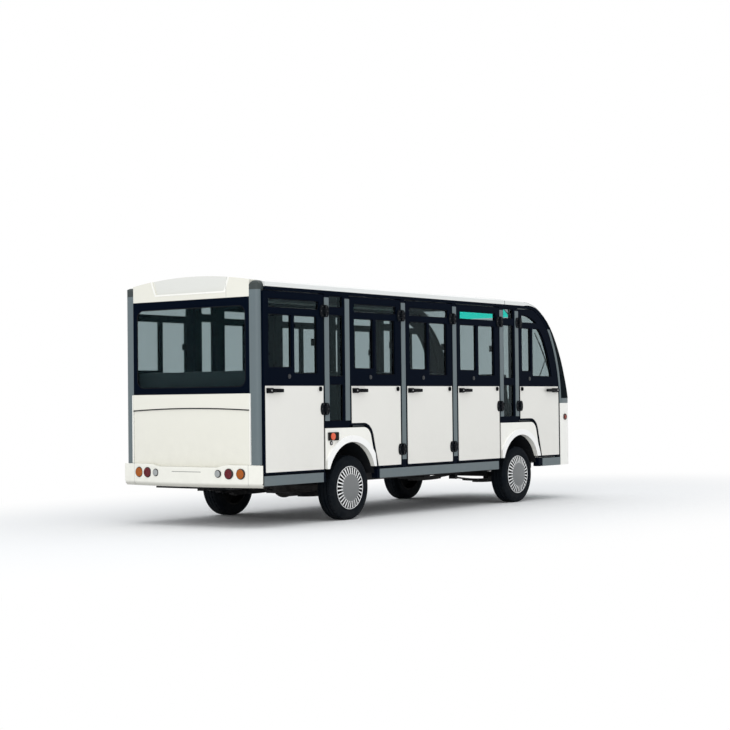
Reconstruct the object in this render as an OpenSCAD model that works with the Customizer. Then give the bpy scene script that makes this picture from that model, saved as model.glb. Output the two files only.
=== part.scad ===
// Enclosed electric sightseeing shuttle with five doors a side.
// X points forward, Y to the left and Z up. The ground is at zero.

/* [Body] */
// Width over the door skins
body_w = 1540; // [1480:10:1600]
// Top of the roof crown above the ground
roof_top = 2085; // [2065:5:2105]
// Height of the roof crown above the side rail
roof_rise = 112; // [104:1:120]
// Height of the side rail
rail_h = 27; // [22:1:32]
// Height of the roof's upright edge
roof_edge_h = 36; // [28:1:44]
// Thickness of the roof shell
roof_t = 30; // [20:1:40]
// Depth of the side walls behind the skins
wall_d = 64; // [58:1:70]

/* [Sills and floor] */
// Underside of the sills above the wheel centres
sill_up = 67; // [62:1:76]
// Height of the sills
sill_h = 84; // [78:1:90]
// Step of the grey sill strip below the sill top
sill_strip_drop = 3; // [1:1:6]
// Gap from the wheel opening to a grey sill strip
sill_strip_gap = 49; // [40:1:60]
// Thickness of the floor deck
deck_t = 12; // [8:1:16]
// Thickness of the wheel tubs
tub_t = 6; // [4:1:8]

/* [Doors] */
// Width of the rearmost door opening
rear_door_w = 810; // [795:1:825]
// Width of each middle door opening
door_w = 777; // [765:1:789]
// Width of the front door opening
front_door_w = 806; // [795:1:815]
// Width of a pillar strip
strip_w = 62; // [56:1:68]
// Thickness of the trim strips
strip_t = 6; // [4:1:8]
// Width of the fixed quarter window section
quarter_w = 226; // [214:1:238]
// Gap around each door
door_gap = 8; // [7:1:10]
// Thickness of a door leaf without its skin
leaf_t = 36; // [30:1:40]
// Outer skin of a door proud of its frame
skin_t = 4; // [3:1:6]
// Frame showing around a door skin
skin_margin = 16; // [12:1:20]
// Height of the white skins
skin_h = 706; // [686:5:726]
// Corner radius of the door frames
door_r = 14; // [8:1:20]
// Corner radius of the skins
skin_r = 8; // [4:1:12]
// Seal gap between a door and the wheel arch panel
arch_gap = 22; // [16:1:28]

/* [Windows] */
// Bottom of the transom windows below the door tops
transom_drop = 135; // [130:1:142]
// Height of the transom windows
transom_h = 92; // [80:1:96]
// Bar between the side panes and the transom
transom_bar = 55; // [46:1:62]
// Bottom of the fixed side panes above the skins
fixed_pane_up = 153; // [140:1:166]
// Bottom of the sliding side panes above the skins
slide_pane_up = 103; // [90:1:116]
// Frame beside the fixed pane, from the skin edge
fixed_pane_edge = 47; // [40:1:54]
// Frame beside the sliding pane, from the skin edge
slide_pane_edge = 72; // [62:1:82]
// Width of the bar between the two panes
mullion_w = 34; // [28:1:40]
// Place of the bar along the skin
mullion_share = 0.479; // [0.46:0.001:0.5]
// Place of the bar along the front door skin
front_mullion_share = 0.316; // [0.3:0.001:0.33]
// Thickness of the glass
glass_t = 5; // [4:1:6]
// Corner radius of the panes
pane_r = 14; // [8:1:18]
// Gap of the panes in their frames
pane_fit = 0.3; // [0.2:0.1:0.5]

/* [Hinges and handles] */
// Upper hinges below the door tops
hinge_drop = 141; // [132:1:150]
// Lower hinges on the long pillars, above the door bottoms
hinge_low_up = 153; // [143:1:163]
// Lower hinges over the wheels, above the arch panels
hinge_mid_up = 165; // [155:1:175]
// Height of a hinge
hinge_h = 102; // [90:1:110]
// Hinge plate thickness
hinge_t = 5; // [4:1:6]
// Radius of a hinge barrel
barrel_r = 9; // [8:0.5:10]
// Radius of a hinge pin
pin_r = 4; // [3.5:0.25:4.5]
// Reach of the hinge plate over the door
hinge_reach = 36; // [30:1:42]
// Door handles below the top of the skins
handle_drop = 39; // [32:1:46]
// Length of a door handle
handle_l = 190; // [176:2:204]
// Height of a door handle base
handle_h = 46; // [40:1:52]
// Reach of a door handle from the skin
handle_d = 38; // [32:1:42]

/* [Wheels] */
// Height of the tyre section above the rim
tyre_h = 101; // [96:1:106]
// Tyre width
tyre_w = 165; // [155:1:175]
// Radius of the tyre seat on the rim
rim_r = 178; // [174:1:182]
// Rounding of the tyre section
tyre_round = 38; // [30:1:44]
// Tyre face inside the door skins
wheel_inset = 25; // [20:1:35]
// Slots in a wheel cover
slot_count = 32; // [28:2:36]
// Radius of the wheel cover's plain centre
cover_centre_r = 98; // [90:1:106]
// Radius of the wheel spindles
spindle_r = 20; // [18:1:22]
// Running clearance of pins and spindles
run_fit = 0.3; // [0.3:0.1:0.5]

/* [Wheel arches] */
// Gap from the tyre to the wheel opening
arch_clear = 76; // [72:1:80]
// Centre of the wheel opening above the wheel centres
arch_up = 43; // [40:1:46]
// Width of the raised lip
lip_w = 57; // [50:1:62]
// Reach of the raised lip
lip_t = 22; // [16:1:26]
// Panel above the wheel opening
fender_head = 123; // [114:1:132]
// Underside of the arch panels above the sills
fender_up = 24; // [18:1:30]
// Rounding of the arch panel's front shoulder
fender_r = 105; // [90:1:120]
// Front foot of the rear arch panel ahead of the wheel centre
rear_foot = 349; // [346:1:356]
// Front foot of the front arch panel ahead of the wheel centre
front_foot = 394; // [388:1:400]
// Run of the arch panel's slanted front edge
foot_run = 92; // [80:1:104]
// Rear edge of the rear arch panel behind the wheel centre
rear_arch_back = 373; // [368:1:378]
// Rear edge of the front arch panel behind the wheel centre
front_arch_back = 353; // [350:1:358]
// Front wheel opening ahead of the wheel centre
arch_shift = 4; // [2:1:8]
// Rear wheel opening behind the wheel centre
rear_shift = 14; // [10:1:16]
// Thickness of the arch panels
fender_t = 35; // [30:1:40]
// Gap from the tyre to the wheel tub
tub_clear = 86; // [84:1:90]

/* [Front] */
// Lower radius of the post line
post_r = 1350; // [1320:5:1380]
// Upper radius of the post line
brow_r = 600; // [580:5:620]
// Turn of the post line at the join of its radii
brow_turn = 30; // [27:1:33]
// Width of the windscreen posts
post_w = 34; // [30:1:38]
// Bow of the nose ahead of the posts
nose_bow = 303; // [290:1:315]
// Bow of the windscreen's top edge
brow_bow = 50; // [40:1:60]
// Power of the rounded plan outline
plan_power = 4; // [3.6:0.1:4.4]
// Thickness of the nose panel
nose_t = 6; // [5:1:8]
// Height of the nose panel
nose_h = 642; // [634:1:648]
// Height of the grey band under the windscreen
band_h = 52; // [46:1:58]
// Turn of the brow down to the windscreen's top edge
brow_end = 36; // [33:1:39]
// Turn of the post line at which the roof's upright edge runs out
edge_turn = 25; // [22:1:28]
// Headlamp radius
headlamp_r = 72; // [62:1:80]
// Height of the headlamps above the nose panel's foot
headlamp_up = 354; // [334:5:374]
// Radius of the round side marker
marker_r = 32; // [28:1:36]
// Headlamps from the middle
headlamp_y = 560; // [545:5:575]

/* [Tail] */
// Depth of the corner posts
corner_d = 38; // [34:1:42]
// Inner edge of the corner posts inside the door skins
corner_w = 115; // [105:1:125]
// Outer face of the corner posts inside the door skins
corner_inset = 22; // [16:1:28]
// Height of the tail panel above the bumper
tail_h = 583; // [573:1:593]
// Height of the roof visor over the rear window
visor_h = 195; // [185:1:205]
// Side frame of the rear window
surround_side = 42; // [34:1:50]
// Bottom frame of the rear window
surround_foot = 54; // [46:1:62]
// Top frame of the rear window
surround_head = 67; // [58:1:76]
// Corner radius of the rear window
surround_r = 72; // [60:1:84]
// Thickness of the tail panel and the window surround
tail_t = 15; // [12:1:18]
// Height of the raised band on the tail panel
tail_band_h = 132; // [122:1:142]
// Rise of the raised band's lower edge in the middle
tail_band_rise = 18; // [12:1:24]
// Reach of the raised band
tail_band_t = 8; // [5:1:10]
// Depth of the roof visor
visor_d = 70; // [60:1:80]
// Depth of the visor's recess
recess_d = 12; // [8:1:16]
// Half width of the visor's recess at the crown
recess_half = 440; // [430:1:450]
// Bottom of the visor's recess above the visor's bottom
recess_up = 58; // [50:1:66]
// Slant of the recess ends
recess_slant = 58; // [50:1:66]
// Width of the raised rim round the recess
recess_rim = 14; // [10:1:18]
// Reach of the raised rim
recess_rim_t = 4; // [3:1:6]

/* [Rear bumper] */
// Underside of the bumper below the sills
bumper_drop = 6; // [2:1:12]
// Height of the bumper's raised ends
bumper_h = 177; // [171:1:183]
// Top of the bumper's middle below the raised ends
bumper_dip = 21; // [16:1:26]
// Half width of the low middle
dip_half = 335; // [320:5:350]
// Run of the slope to the raised ends
dip_run = 95; // [80:5:110]
// Bow of the bumper behind the tail panel
bumper_bow = 74; // [64:1:84]
// Reach of the bumper past the door skins
bumper_side = 14; // [8:1:18]
// Ends of the bumper behind the sills
bumper_back = 24; // [16:1:30]
// Rounding of the bumper's corners
bumper_r = 52; // [40:1:60]
// Lamp row above the underside of the bumper
lamp_up = 104; // [98:1:110]
// Turn lamps from the middle
turn_lamp_y = 570; // [564:1:576]
// Stop lamps from the middle
stop_lamp_y = 456; // [450:1:462]
// Reversing lamps from the middle
back_lamp_y = 350; // [344:1:356]
// Radius of the turn and stop lamps
lamp_r = 40; // [36:1:43]
// Radius of the reversing lamps
back_lamp_r = 28; // [24:1:32]
// Reach of a lamp from the bumper
lamp_reach = 5; // [3:1:8]

/* [Running gear] */
// Chassis rails from the middle
rail_y = 395; // [385:1:400]
// Width of a chassis rail
chassis_w = 80; // [76:1:84]
// Height of a chassis rail
chassis_h = 80; // [74:1:86]
// Kingpins inside the tyre face
kingpin_in = 145; // [140:1:150]
// Radius of the kingpins
kingpin_r = 14; // [12:1:16]
// Half depth of the front axle beam
beam_half = 25; // [22:1:28]
// Radius of the rear axle tubes
tube_r = 38; // [34:1:42]
// Radius of the final drive
drive_r = 104; // [98:1:107]
// Room over the rear axle under the chassis rails
axle_room = 24; // [18:1:30]
// Radius of the drive motor
motor_r = 98; // [90:1:104]
// Length of the drive motor
motor_l = 330; // [300:5:360]
// Width of the leaf springs
spring_w = 60; // [54:1:64]
// Thickness of a spring leaf
leaf_h = 12; // [10:1:13]
// Half length of the springs
spring_half = 650; // [635:1:665]
// Rise of the spring eyes
spring_rise = 45; // [40:1:50]
// Spring seat below the wheel centres
spring_drop = 44; // [42:1:48]

/* [Seats] */
// Seat backs ahead of each door opening's rear edge
seat_off = 15; // [5:1:25]
// Top of the seat pan above the deck
pan_up = 333; // [326:1:340]
// Thickness of the cushions
pad_t = 95; // [85:1:105]
// Height of the seat backs above the pan
back_h = 565; // [545:5:575]
// Length of the cushions
cushion_l = 440; // [420:5:460]
// Width of a seat
seat_w = 440; // [430:1:448]
// Steering wheel radius
wheel_ring_r = 190; // [180:1:200]

/* [Hidden] */
$fn = 96;
half_w = body_w / 2;
// Small lengths
over = 1;
hair = 0.5;
// Side stations, from the middle of the wheelbase
wheelbase = 3 * door_w + quarter_w + 4 * strip_w + front_arch_back - rear_arch_back;
rear_x = -wheelbase / 2;
front_x = wheelbase / 2;
s1 = rear_x - rear_arch_back;
side_x = s1 - rear_door_w;
tail_x = side_x - corner_d;
q1 = s1 + strip_w;
s2 = q1 + quarter_w;
a2 = s2 + strip_w;
s3 = a2 + door_w;
a3 = s3 + strip_w;
s4 = a3 + door_w;
a4 = s4 + strip_w;
s5 = a4 + door_w;
q2 = s5 + strip_w;
s6 = q2 + quarter_w;
a5 = s6 + strip_w;
post_x = a5 + front_door_w;
nose_x = post_x + post_w + nose_bow;
bumper_x = tail_x - bumper_bow;
// Shift that centres the whole length on the origin
mid_x = -(nose_x + bumper_x) / 2;
// Heights
tyre_r = rim_r + tyre_h;
sill_z = tyre_r + sill_up;
sill_top = sill_z + sill_h;
door_z = sill_top + door_gap;
rail_top = roof_top - roof_rise;
rail_z = rail_top - rail_h;
door_top = rail_z - door_gap;
waist_z = door_z + skin_margin + skin_h;
transom_z = door_top - transom_drop;
pane_top = transom_z - transom_bar;
fixed_pane_z = waist_z + fixed_pane_up;
slide_pane_z = waist_z + slide_pane_up;
deck_top = sill_z + sill_h * 2 / 3;
pan_z = deck_top + pan_up;
back_top = pan_z + back_h;
chassis_top = deck_top - deck_t;
chassis_z = chassis_top - chassis_h;
strip_top = rail_z - strip_w / 2;
glass_y = half_w - skin_t - leaf_t / 2;
// Wall planes, measured out from the middle
wall_y = half_w - strip_t;
wall_in = wall_y - wall_d;
leaf_y = half_w - skin_t;
leaf_in = leaf_y - leaf_t;
corner_y = half_w - corner_inset;
// Roof crown
edge_top = rail_top + roof_edge_h;
crown_h = roof_top - edge_top;
crown_r = (half_w * half_w + crown_h * crown_h) / (2 * crown_h);
crown_z = roof_top - crown_r;
// Wheel openings and arch panels
arch_r = tyre_r + arch_clear;
arch_z = tyre_r + arch_up;
tub_r = tyre_r + tub_clear;
fender_top = arch_z + arch_r + fender_head;
fender_z = sill_top + fender_up;
// Tail and bumper
bumper_z = sill_z - bumper_drop;
bumper_top = bumper_z + bumper_h;
lamp_z = bumper_z + lamp_up;
surround_z = bumper_top + tail_h;
surround_top = roof_top - visor_h;
// Post line: a lower arc about c1 and an upper arc about c2
c2x = post_x - post_r + (post_r - brow_r) * cos(brow_turn);
c2z = rail_top - brow_r;
c1x = post_x - post_r;
c1z = c2z - (post_r - brow_r) * sin(brow_turn);
nose_top = sill_z + nose_h;
band_top = nose_top + band_h;
headlamp_z = sill_z + headlamp_up;
brow_z = c2z + (brow_r + post_w) * cos(brow_end);
// Hinges and handles
hinge_high_z = door_top - hinge_drop;
hinge_low_z = door_z + hinge_low_up;
hinge_mid_z = fender_top + hinge_mid_up;
handle_z = waist_z - handle_drop;
hinge_y = half_w + barrel_r + over;
knuckle_h = hinge_h / 3;
// Wheels
wheel_y = half_w - wheel_inset - tyre_w / 2;
kingpin_y = half_w - wheel_inset - kingpin_in;
rim_half = tyre_w / 2 - tyre_round / 6;
rim_t = 8;
cover_t = 6;
hub_r = 46;
hub_in = 8;
hub_out = 24;
web_reach = 50;
web_y = kingpin_y + web_reach;
lug_wall = 12;
// Rear bumper arc
bumper_half = half_w + bumper_side;
bumper_end = side_x - bumper_back;
bow_half = bumper_half * 10 / 11;
bow_r = (bow_half * bow_half + bumper_bow * bumper_bow) / (2 * bumper_bow);
// Tubs and springs
tub_in = rail_y + chassis_w / 2 + over;
spring_z = tyre_r - spring_drop;
arc_r = (spring_half * spring_half + spring_rise * spring_rise) / (2 * spring_rise);
eye_r = 18;
eye_z = spring_z - leaf_h / 2 + spring_rise;
hanger_t = 8;
hanger_pin_r = 9;

// Doors: name, rear edge, front edge, hinged edge, lower hinge, wheel arch it clears
D_NAME = 0;
D_FROM = 1;
D_TO = 2;
D_HINGED = 3;
D_LOW = 4;
D_WHEEL = 5;
doors = [
  ["1", side_x, s1, "front", hinge_mid_z, "none"],
  ["2", a2, s3, "front", hinge_low_z, "rear"],
  ["3", a3, s4, "front", hinge_low_z, "none"],
  ["4", a4, s5, "front", hinge_mid_z, "none"],
  ["5", a5, post_x, "rear", hinge_mid_z, "front"]
];
// Wheel arches: name, wheel centre, rear edge of the panel, front foot, shift of the opening
W_NAME = 0;
W_X = 1;
W_FROM = 2;
W_FOOT = 3;
W_SHIFT = 4;
arches = [
  ["rear", rear_x, s1, rear_foot, -rear_shift],
  ["front", front_x, s5, front_foot, arch_shift]
];
// Pillar strips: rear edge, bottom
pillars = [
  [s1, fender_top + strip_w],
  [s2, fender_top + strip_w],
  [s3, door_z + strip_w],
  [s4, door_z + strip_w],
  [s5, fender_top + strip_w],
  [s6, fender_top + strip_w]
];
// Whole-millimetre reach of a middle quarter pane past the door panes
pane_drop = round(strip_w / 3);
// Quarter window panes: bottom, top
quarter_panes = [
  [fender_top + strip_w, waist_z + pane_r],
  [slide_pane_z - pane_drop, pane_top + pane_drop],
  [transom_z + strip_w / 2, rail_z - strip_w / 4]
];
// Sides: name, mirrored from the right
sides = [["right", false], ["left", true]];
ends = [["rear", rear_x], ["front", front_x]];
// Places of the seats of a bench and of the front row, and half widths, as shares of a seat
bench_shares = [-1, 0, 1];
front_shares = [-0.8, 0.8];
half_shares = [1.5, 1.3];

// Colours
white = [0.9, 0.9, 0.87];
slate = [0.36, 0.4, 0.45];
black = [0.06, 0.07, 0.09];
tint = [0.2, 0.25, 0.27];

// Helpers
module placed() {
  translate([mid_x, 0, 0]) children();
}

module on_side(mirrored) {
  mirror([0, mirrored ? 1 : 0, 0]) children();
}

module both_sides() {
  for (s = sides) {
    on_side(s[1]) children();
  }
}

// Upright plate on the right from an x and z outline
module plate(y_in, t) {
  translate([0, -y_in, 0]) rotate([90, 0, 0]) linear_extrude(t) children();
}

// Bar across the shuttle from an x and z outline
module across(half) {
  translate([0, half, 0]) rotate([90, 0, 0]) linear_extrude(2 * half) children();
}

// Solid along x from a y and z outline
module along(x_from, x_to) {
  translate([x_from, 0, 0]) rotate([90, 0, 90]) linear_extrude(x_to - x_from) children();
}

module rect(x_from, x_to, z_from, z_to) {
  translate([x_from, z_from]) square([x_to - x_from, z_to - z_from]);
}

module block(x_from, x_to, y_from, y_to, z_from, z_to) {
  translate([x_from, y_from, z_from]) cube([x_to - x_from, y_to - y_from, z_to - z_from]);
}

module rrect(x_from, x_to, z_from, z_to, r) {
  rect(x_from + r, x_to - r, z_from, z_to);
  rect(x_from, x_to, z_from + r, z_to - r);
  for (x = [x_from + r, x_to - r]) {
    for (z = [z_from + r, z_to - r]) {
      translate([x, z]) circle(r);
    }
  }
}

// Cylinder across the shuttle, on the right
module pin_y(r, y_from, y_to) {
  translate([0, -y_from, 0]) rotate([90, 0, 0]) cylinder(r = r, h = y_to - y_from);
}

// Cylinder along the shuttle
module pin_x(r, x_from, x_to) {
  translate([x_from, 0, 0]) rotate([0, 90, 0]) cylinder(r = r, h = x_to - x_from);
}

// Side outline behind the post line, drawn in by d
module behind_post(d) {
  join_z = c1z + (post_r - d) * sin(brow_turn);
  rect(tail_x, post_x - d, 0, c1z);
  intersection() {
    translate([c1x, c1z]) circle(post_r - d, $fn = 360);
    rect(c1x, post_x + post_w + over, c1z, join_z);
  }
  rect(tail_x, c1x + over, c1z, join_z);
  intersection() {
    translate([c2x, c2z]) circle(brow_r - d, $fn = 240);
    rect(c2x, post_x + post_w + over, join_z, roof_top);
  }
  rect(tail_x, c2x, join_z, c2z + brow_r - d);
}

// Arch panel outline about its wheel, grown by g
module arch_outline(w, g) {
  foot = w[W_FOOT];
  rise = fender_top - fender_z;
  // Unit along the leaning front edge, from the foot up
  len = sqrt(foot_run * foot_run + rise * rise);
  nx = rise / len;
  nz = foot_run / len;
  turn = atan2(nz, nx);
  // Centre of the shoulder that touches the top and the leaning edge
  cz = fender_top - fender_r;
  edge_x = foot - foot_run * (cz - fender_z) / rise;
  cx = edge_x - fender_r / nx;
  r = fender_r + g;
  low = sill_z - over;
  low_x = foot + foot_run * (fender_z - low) / rise + g / nx;
  polygon(concat(
    [[w[W_FROM] - w[W_X] - g, low], [w[W_FROM] - w[W_X] - g, fender_top + g]],
    [for (i = [0:12]) let (t = 90 - (90 - turn) * i / 12) [cx + r * cos(t), cz + r * sin(t)]],
    [[low_x, low]]
  ));
}

// Door outline, drawn in by d
module door_outline(d, in) {
  back = d[D_FROM] + door_gap + in;
  ahead = d[D_TO] - door_gap - in;
  hinged_ahead = d[D_HINGED] == "front";
  difference() {
    intersection() {
      rrect(back, hinged_ahead ? ahead : ahead + door_r, door_z + in, door_top - in,
            in > 0 ? skin_r : door_r);
      behind_post(door_gap + in);
    }
    for (w = arches) if (w[W_NAME] == d[D_WHEEL]) {
      translate([w[W_X], 0]) difference() {
        arch_outline(w, arch_gap + in);
        rect(-wheelbase, w[W_FROM] - w[W_X], 0, roof_top);
      }
    }
  }
}

// Window openings of a door, drawn in by f
module door_panes(d, f) {
  from = d[D_FROM] + door_gap + skin_margin;
  to = d[D_TO] - door_gap - skin_margin;
  ahead = d[D_HINGED] == "front";
  bar = from + (to - from) * (ahead ? mullion_share : front_mullion_share);
  edge = ahead ? slide_pane_edge : slide_pane_edge + fixed_pane_edge;
  rrect(from + fixed_pane_edge + f, bar - mullion_w / 2 - f, fixed_pane_z + f, pane_top - f, pane_r);
  intersection() {
    rrect(bar + mullion_w / 2 + f, to - (ahead ? edge : pane_r) - f, slide_pane_z + f, pane_top - f, pane_r);
    behind_post(edge + f);
  }
  intersection() {
    rrect(from + fixed_pane_edge + f, to - fixed_pane_edge - f,
          transom_z + f, transom_z + transom_h - f, pane_r);
    behind_post(slide_pane_edge + door_gap + skin_margin + f);
  }
}

// Rear edge of the windscreen post at a height below the join of its radii
function post_line(z) = z <= c1z ? post_x : c1x + sqrt(post_r * post_r - pow(z - c1z, 2));

// Pivot of a door and the way its leaf runs from there
function pivot_x(d) = d[D_HINGED] == "front" ? d[D_TO] - door_gap / 2 : d[D_FROM] + door_gap / 2;
function runs(d) = d[D_HINGED] == "front" ? -1 : 1;

// Door leaf with its skin, hinge knuckles and handle
module door(d) {
  run = runs(d);
  color(black) difference() {
    union() {
      plate(leaf_in, leaf_t) door_outline(d, 0);
      plate(leaf_y - over, skin_t + over) intersection() {
        door_outline(d, skin_margin);
        rect(tail_x, nose_x, sill_z, waist_z);
      }
      for (z = [d[D_LOW], hinge_high_z]) {
        translate([pivot_x(d), 0, z - hinge_h / 2]) door_hinge(run);
      }
      translate([run < 0 ? d[D_FROM] : post_line(handle_z), 0, handle_z]) handle(-run);
    }
    plate(leaf_in - over, leaf_t + skin_t + 2 * over) door_panes(d, 0);
    for (z = [d[D_LOW], hinge_high_z]) {
      translate([pivot_x(d), -hinge_y, z - hinge_h / 2 - over]) {
        cylinder(r = pin_r + run_fit, h = hinge_h + 2 * over);
      }
    }
  }
}

module door_hinge(run) {
  mid = knuckle_h + over;
  top = 2 * knuckle_h - over;
  near = barrel_r + over;
  translate([0, -hinge_y, mid]) cylinder(r = barrel_r, h = top - mid);
  mirror([run < 0 ? 1 : 0, 0, 0]) {
    block(0, near + over, -half_w - hinge_t, -half_w - over, mid, top);
    translate([0, -leaf_y + over, 0]) rotate([90, 0, 0]) linear_extrude(skin_t + hinge_t + over) {
      rect(near, hinge_reach, 0, hinge_h);
      translate([hinge_reach, hinge_h / 2]) intersection() {
        scale([1 / 2, 1]) circle(hinge_h / 2);
        rect(0, hinge_h, -hinge_h, hinge_h);
      }
    }
  }
}

// Pull handle: a base at the free edge and a lever towards the hinge
module handle(run) {
  base_share = 0.45;
  grip_share = 0.56;
  base_l = handle_l * base_share;
  grip_h = handle_h * grip_share;
  start = door_gap + skin_margin + skin_r;
  mirror([run < 0 ? 1 : 0, 0, 0]) {
    translate([0, -half_w + over, 0]) rotate([90, 0, 0]) {
      linear_extrude(handle_d / 2 + over) {
        rrect(start, start + base_l, -handle_h / 2, handle_h / 2, skin_r);
      }
    }
    translate([0, -half_w - handle_d / 3, 0]) rotate([90, 0, 0]) {
      linear_extrude(handle_d * 2 / 3) {
        rrect(start + skin_r, start + handle_l, -grip_h / 2, grip_h / 2, skin_r);
      }
    }
  }
}

module door_glass(d) {
  color(tint, 0.5) plate(glass_y - glass_t / 2, glass_t) door_panes(d, pane_fit);
}

// Fixed half of a hinge: plate on the pillar, two knuckles and the pin
module fixed_hinge(run) {
  near = barrel_r + over;
  translate([0, -hinge_y, 0]) {
    cylinder(r = barrel_r, h = knuckle_h);
    translate([0, 0, 2 * knuckle_h]) cylinder(r = barrel_r, h = knuckle_h);
    cylinder(r = pin_r, h = hinge_h);
  }
  mirror([run > 0 ? 1 : 0, 0, 0]) {
    block(near, strip_w - over, -half_w - hinge_t, -half_w, 0, hinge_h);
    for (z = [0, 2 * knuckle_h]) {
      block(0, near + over, -half_w - hinge_t, -half_w, z, z + knuckle_h);
    }
  }
}

module hinge_leaves() {
  color(black) both_sides() {
    for (d = doors) {
      for (z = [d[D_LOW], hinge_high_z]) {
        translate([pivot_x(d), 0, z - hinge_h / 2]) fixed_hinge(runs(d));
      }
    }
  }
}

// Running gear
module tyre() {
  color(black) rotate([90, 0, 0]) rotate_extrude($fn = 144) {
    rrect(rim_r + pane_fit, tyre_r, -tyre_w / 2, tyre_w / 2, tyre_round);
  }
}

// Steel wheel with its slotted cover
module wheel() {
  open_share = 0.5;
  slot_out = rim_r - rim_t / 4;
  slot_turn = 180 / slot_count * open_share;
  color([0.6, 0.62, 0.64]) rotate([90, 0, 0]) {
    rotate_extrude($fn = 144) difference() {
      union() {
        rect(rim_r - rim_t, rim_r, -rim_half, rim_half - cover_t + over);
        rect(slot_out, rim_r + rim_t, rim_half - cover_t, rim_half);
        rect(rim_r - rim_t, rim_r + rim_t, -rim_half, -rim_half + cover_t);
        rect(0, rim_r - rim_t + over, hub_out - over, hub_out + rim_t);
        rect(0, hub_r, -hub_in, hub_out);
      }
      rect(0, spindle_r + run_fit, -hub_in - over, hub_out - over);
    }
    translate([0, 0, rim_half - cover_t]) linear_extrude(cover_t) difference() {
      circle(rim_r, $fn = 144);
      for (i = [0:slot_count - 1]) {
        rotate(i * 360 / slot_count) polygon([
          [cover_centre_r, -cover_centre_r * tan(slot_turn)], [slot_out, -slot_out * tan(slot_turn)],
          [slot_out, slot_out * tan(slot_turn)], [cover_centre_r, cover_centre_r * tan(slot_turn)]
        ]);
      }
    }
    translate([0, 0, rim_half - over]) cylinder(r = cover_centre_r - cover_t, h = cover_t);
  }
}

// Steering knuckle on the right: two lugs, a web and the spindle
module knuckle() {
  lug_r = kingpin_r + lug_wall;
  low = beam_half + over;
  top = 2 * beam_half;
  color(slate) translate([front_x, 0, tyre_r]) difference() {
    union() {
      for (z = [low, -top]) {
        translate([0, -kingpin_y, z]) cylinder(r = lug_r, h = top - low);
        block(-lug_r, lug_r, -web_y, -kingpin_y, z, z + top - low);
      }
      block(-lug_r, lug_r, -web_y, -web_y + rim_t * 2, -top, top);
      pin_y(spindle_r, web_y - over, wheel_y + hub_out - 2 * over);
    }
    translate([0, -kingpin_y, -top - over]) cylinder(r = kingpin_r + run_fit, h = 2 * top + 2 * over);
  }
}

// Pads whose ends touch the top leaf
module spring_pads() {
  pad_half = tube_r * 3 / 2;
  lift = pad_half * pad_half / (2 * arc_r) + hair / 10;
  both_sides() {
    block(-pad_half, pad_half, -rail_y - spring_w / 2, -rail_y + spring_w / 2, lift - spring_drop, 0);
  }
}

module front_axle() {
  boss_r = kingpin_r + lug_wall;
  color(slate) translate([front_x, 0, tyre_r]) {
    block(-beam_half, beam_half, -kingpin_y, kingpin_y, -beam_half, beam_half);
    spring_pads();
    both_sides() translate([0, -kingpin_y, 0]) {
      translate([0, 0, -beam_half]) cylinder(r = boss_r, h = 2 * beam_half);
      translate([0, 0, -2 * beam_half]) cylinder(r = kingpin_r, h = 4 * beam_half);
    }
  }
}

module rear_axle() {
  flange_y = wheel_y - rim_half - over;
  color(slate) translate([rear_x, 0, tyre_r]) {
    pin_y(tube_r, -flange_y, flange_y);
    spring_pads();
    sphere(drive_r);
    pin_x(motor_r, 0, motor_l);
    both_sides() {
      pin_y(drive_r, flange_y - rim_t, flange_y);
      pin_y(spindle_r, flange_y - over, wheel_y + hub_out - 2 * over);
    }
  }
}

// Three leaves on arcs about one centre, with an eye at each end
module spring_outline() {
  shares = [1, 0.68, 0.4];
  difference() {
    union() {
      for (i = [0:2]) {
        intersection() {
          translate([0, spring_z + arc_r]) difference() {
            circle(arc_r + (i + 1) * leaf_h, $fn = 720);
            circle(arc_r + i * leaf_h, $fn = 720);
          }
          rect(-spring_half * shares[i], spring_half * shares[i],
               spring_z - 3 * leaf_h, spring_z + 2 * spring_rise);
        }
      }
      for (x = [-spring_half, spring_half]) {
        translate([x, eye_z]) circle(eye_r);
      }
    }
    for (x = [-spring_half, spring_half]) {
      translate([x, eye_z]) circle(hanger_pin_r + run_fit);
    }
  }
}

module leaf_springs() {
  color(black) both_sides() {
    for (e = ends) {
      translate([e[1], 0, 0]) plate(rail_y - spring_w / 2, spring_w) spring_outline();
    }
  }
}

// Rails with spring hangers and jacking pads
module chassis_rails() {
  rail_front = post_x - post_w;
  pad = chassis_w;
  color(black) both_sides() {
    difference() {
      block(side_x, rail_front, -rail_y - chassis_w / 2, -rail_y + chassis_w / 2, chassis_z, chassis_top);
      translate([rear_x, 0, tyre_r]) pin_y(tube_r + axle_room, rail_y - chassis_w, rail_y + chassis_w);
    }
    for (e = ends) {
      for (x = [-spring_half, spring_half]) {
        translate([e[1] + x, 0, 0]) {
          for (y = [-rail_y - spring_w / 2 - over - hanger_t, -rail_y + spring_w / 2 + over]) {
            block(-eye_r, eye_r, y, y + hanger_t, eye_z - eye_r, chassis_z + over);
          }
          translate([0, 0, eye_z]) {
            pin_y(hanger_pin_r, rail_y - spring_w / 2 - 2 * over, rail_y + spring_w / 2 + 2 * over);
          }
        }
      }
    }
    for (x = [-door_w, door_w]) {
      block(x - pad / 2, x + pad / 2, -rail_y - pad / 2 + over, -rail_y + pad / 2 - over,
            chassis_z - rim_t, chassis_z + over);
    }
  }
}

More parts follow.
